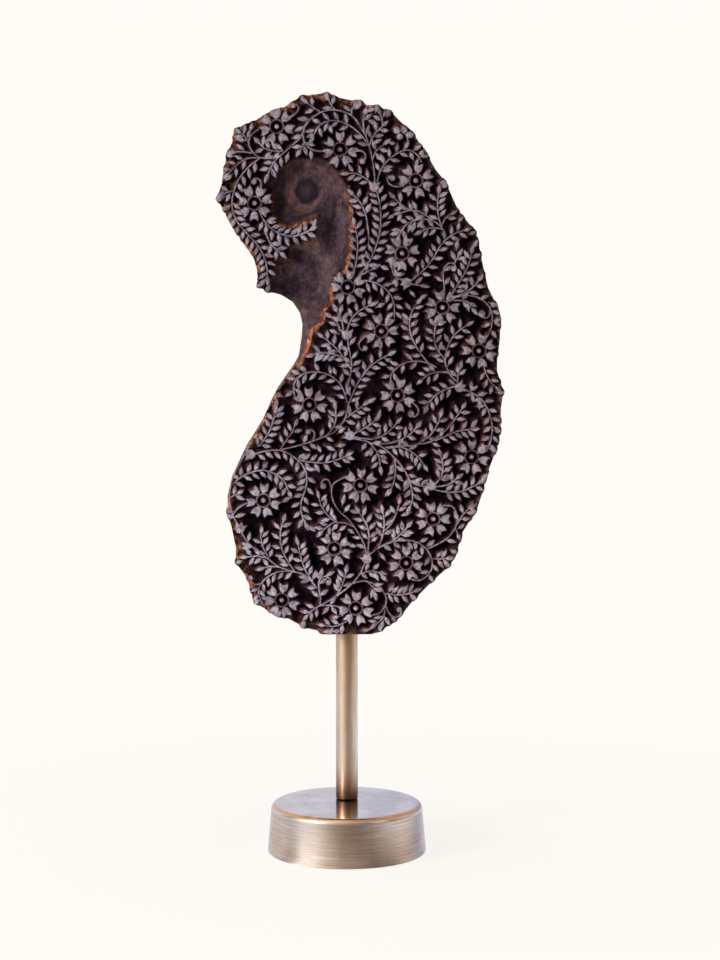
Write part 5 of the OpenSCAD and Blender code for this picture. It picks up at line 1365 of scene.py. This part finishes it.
view = {
    "place": (0.0066, -1.5022, 0.3707),
    "pitch": 6.973,  # degrees below level
    "lens": 113.96,
    "sensor": 36,
}
studio = {
    "paper": (1.0, 0.974, 0.93),  # the backdrop's warm white
    "room": (0.97, 0.98, 1.0),  # light from all round
    "fill": 0.36,  # its strength
    "floorSize": 6.0,  # metres from the middle to a side
    "shadow": [(0.0, grey(0.13)), (0.2, grey(0.05)), (0.4, grey(0.0))],  # its share on the floor, by metres
    "bounce": [(0.0, grey(1.6)), (0.08, grey(1.5)), (0.2, grey(0.35)), (1.0, grey(0.18))],  # floor's light
    "bounceReach": 3.0,  # metres at the end of that ramp
    "floorMirror": 0.95,  # strength of the floor in metal
    "high": (0.35, 0.8),  # how steeply up the light above begins and is full
    # place, aim, size, power, colour
    "lamps": {
        "keyLight": ((-1.15, -0.95, 0.7), (0, 0, 0.22), (0.4, 0.4), 24.0, (1, 0.98, 0.96)),
        "sideLight": ((1.2, -0.9, 0.7), (0, 0, 0.2), (0.7, 1.0), 1.5, (1, 1, 1)),
    },
    # what metal mirrors around it: degrees from the front towards the right, light
    "mirrored": [(-180, (0.87, 0.91, 1.07)), (-122, (0.98, 1.04, 1.16)), (-104, (0.7, 0.75, 0.85)),
                 (-90, (0.86, 0.92, 1.02)), (-73, (1.95, 2.2, 2.55)), (-50, (1.93, 2.18, 2.4)),
                 (-30, (1.15, 1.2, 1.22)), (-8, (0.64, 0.62, 0.62)), (42, (0.31, 0.29, 0.3)),
                 (68, (0.43, 0.41, 0.4)), (98, (0.82, 0.8, 0.81)), (125, (0.72, 0.73, 0.8)),
                 (150, (0.54, 0.61, 0.84)), (180, (0.8, 0.86, 1.08))],
    # the same for the ring of floor that the post mirrors
    "mirroredRing": [(-180, (0.9, 1.05, 1.35)), (-120, (0.95, 1.1, 1.4)), (-90, (1.0, 1.25, 1.65)),
                     (-62, (0.85, 1.02, 1.35)), (-40, (0.6, 0.64, 0.74)), (-20, (0.28, 0.25, 0.24)),
                     (0, (0.2, 0.16, 0.13)), (20, (0.24, 0.2, 0.17)), (42, (0.66, 0.66, 0.68)),
                     (72, (1.25, 1.42, 1.65)), (105, (1.45, 1.8, 2.3)), (150, (1.3, 1.7, 2.3)),
                     (180, (0.9, 1.05, 1.35))],
    # share of that ring, by metres
    "ring": [(0.0, grey(0.0)), (0.14, grey(0.0)), (0.25, grey(1.0)), (0.8, grey(1.0)), (1.0, grey(0.0))],
    # the same for the light above, which the base's rounded edge mirrors
    "mirroredHigh": [(-180, (0.8, 0.8, 0.8)), (-90, (1.0, 0.98, 0.96)), (-60, (1.5, 1.48, 1.44)),
                     (-30, (1.5, 1.46, 1.4)), (0, (1.0, 0.95, 0.9)), (30, (0.75, 0.7, 0.66)),
                     (60, (0.55, 0.52, 0.5)), (90, (0.8, 0.77, 0.75)), (180, (0.8, 0.8, 0.8))],
}


def areaLight(name, place, aim, size, power, color):
    lamp = bpy.data.lights.new(name, "AREA")
    lamp.shape = "RECTANGLE"
    lamp.size, lamp.size_y = size
    lamp.energy = power
    lamp.color = color
    obj = bpy.data.objects.new(name, lamp)
    obj.location = place
    obj.rotation_euler = (Vector(aim) - Vector(place)).to_track_quat("-Z", "Y").to_euler()
    scene.collection.objects.link(obj)


def mirroredLight(tree, stops, x, y, far=None):  # colour by the direction seen from the stand
    turn = addMath(tree, "ARCTAN2", x, times(tree, y, -1.0))
    if far:  # a round base mirrors the floor close to it at twice the angle
        near = addMath(tree, "DIVIDE", stand["baseRadius"] * mm, far)
        turn = times(tree, turn, addMath(tree, "ADD", near, 1.0))
        turn = addMath(tree, "MINIMUM", addMath(tree, "MAXIMUM", turn, -math.pi), math.pi)
    place = addMath(tree, "ADD", times(tree, turn, 0.5 / math.pi), 0.5)
    return addRamp(tree, place, [(angle / 360 + 0.5, color + (1,)) for angle, color in stops])


def chosenBy(tree, share, other, chosen):  # mixes two shaders
    mix = addNode(tree, "MixShader")
    tree.links.new(share, mix.inputs[0])
    join(tree, other, mix, 0, 1)
    join(tree, chosen, mix, 0, 2)
    return mix


def byRay(tree, plain, mirrored, seen):  # one shader to light with, one for metal to mirror, one to look at
    path = addNode(tree, "LightPath").outputs
    direct = addMath(tree, "MAXIMUM", path["Is Camera Ray"], path["Is Transmission Ray"])
    return chosenBy(tree, direct, chosenBy(tree, path["Is Glossy Ray"], plain, mirrored), seen)


def buildRoom():
    world = bpy.data.worlds.new("studio")
    scene.world = world
    world.use_nodes = True
    tree = world.node_tree
    tree.nodes.clear()
    x, y, z = axes(tree, "Generated")
    paper = addNode(tree, "Background", Color=studio["paper"] + (1,), Strength=1.0)
    room = addNode(tree, "Background", Color=studio["room"] + (1,), Strength=studio["fill"])
    mirrored = addNode(tree, "Background", Strength=1.0)
    around = mirroredLight(tree, studio["mirrored"], x, y)
    above = mirroredLight(tree, studio["mirroredHigh"], x, y)
    tree.links.new(mixColor(tree, addRange(tree, z, *studio["high"]), around, above), mirrored.inputs[0])
    join(tree, byRay(tree, room, mirrored, paper), addNode(tree, "OutputWorld"))


def buildFloor():
    mat, tree, shader = newMaterial("paleFloor", (255, 252, 247), 0.9)
    shader.inputs["Specular IOR Level"].default_value = 0.0
    x, y, z = axes(tree)
    length = addNode(tree, "VectorMath", {"operation": "LENGTH"})
    far = join(tree, addNode(tree, "TexCoord"), length, "Object").outputs["Value"]
    glow = addNode(tree, "Emission", Color=studio["paper"] + (1,), Strength=1.0)
    seen = chosenBy(tree, addRamp(tree, far, studio["shadow"], True), glow, shader)
    bounce = addNode(tree, "Emission", Strength=1.0)
    near = addRange(tree, far, 0, studio["bounceReach"])
    tree.links.new(addRamp(tree, near, studio["bounce"]), bounce.inputs[0])
    mirrored = addNode(tree, "Emission", Strength=studio["floorMirror"])
    ahead = addMath(tree, "ADD", y, stand["baseForward"] * mm)
    wide = mirroredLight(tree, studio["mirrored"], x, ahead, far)
    ring = mirroredLight(tree, studio["mirroredRing"], x, ahead, far)
    tree.links.new(mixColor(tree, addRamp(tree, far, studio["ring"]), wide, ring), mirrored.inputs[0])
    join(tree, byRay(tree, bounce, mirrored, seen), tree.nodes["Material Output"])
    size = studio["floorSize"]
    corners = [(-size, -size, 0), (size, -size, 0), (size, size, 0), (-size, size, 0)]
    floor = meshObject("floor", corners, [(0, 1, 2, 3)], [mat])


def buildCamera():
    camera = bpy.data.cameras.new("camera")
    camera.lens = view["lens"]
    camera.sensor_width = view["sensor"]
    eye = bpy.data.objects.new("camera", camera)
    eye.location = view["place"]
    eye.rotation_euler = (math.radians(90 - view["pitch"]), 0, 0)
    scene.collection.objects.link(eye)
    scene.camera = eye


buildRoom()
buildFloor()
for name, values in studio["lamps"].items():
    areaLight(name, *values)
buildCamera()
print("studio ready")
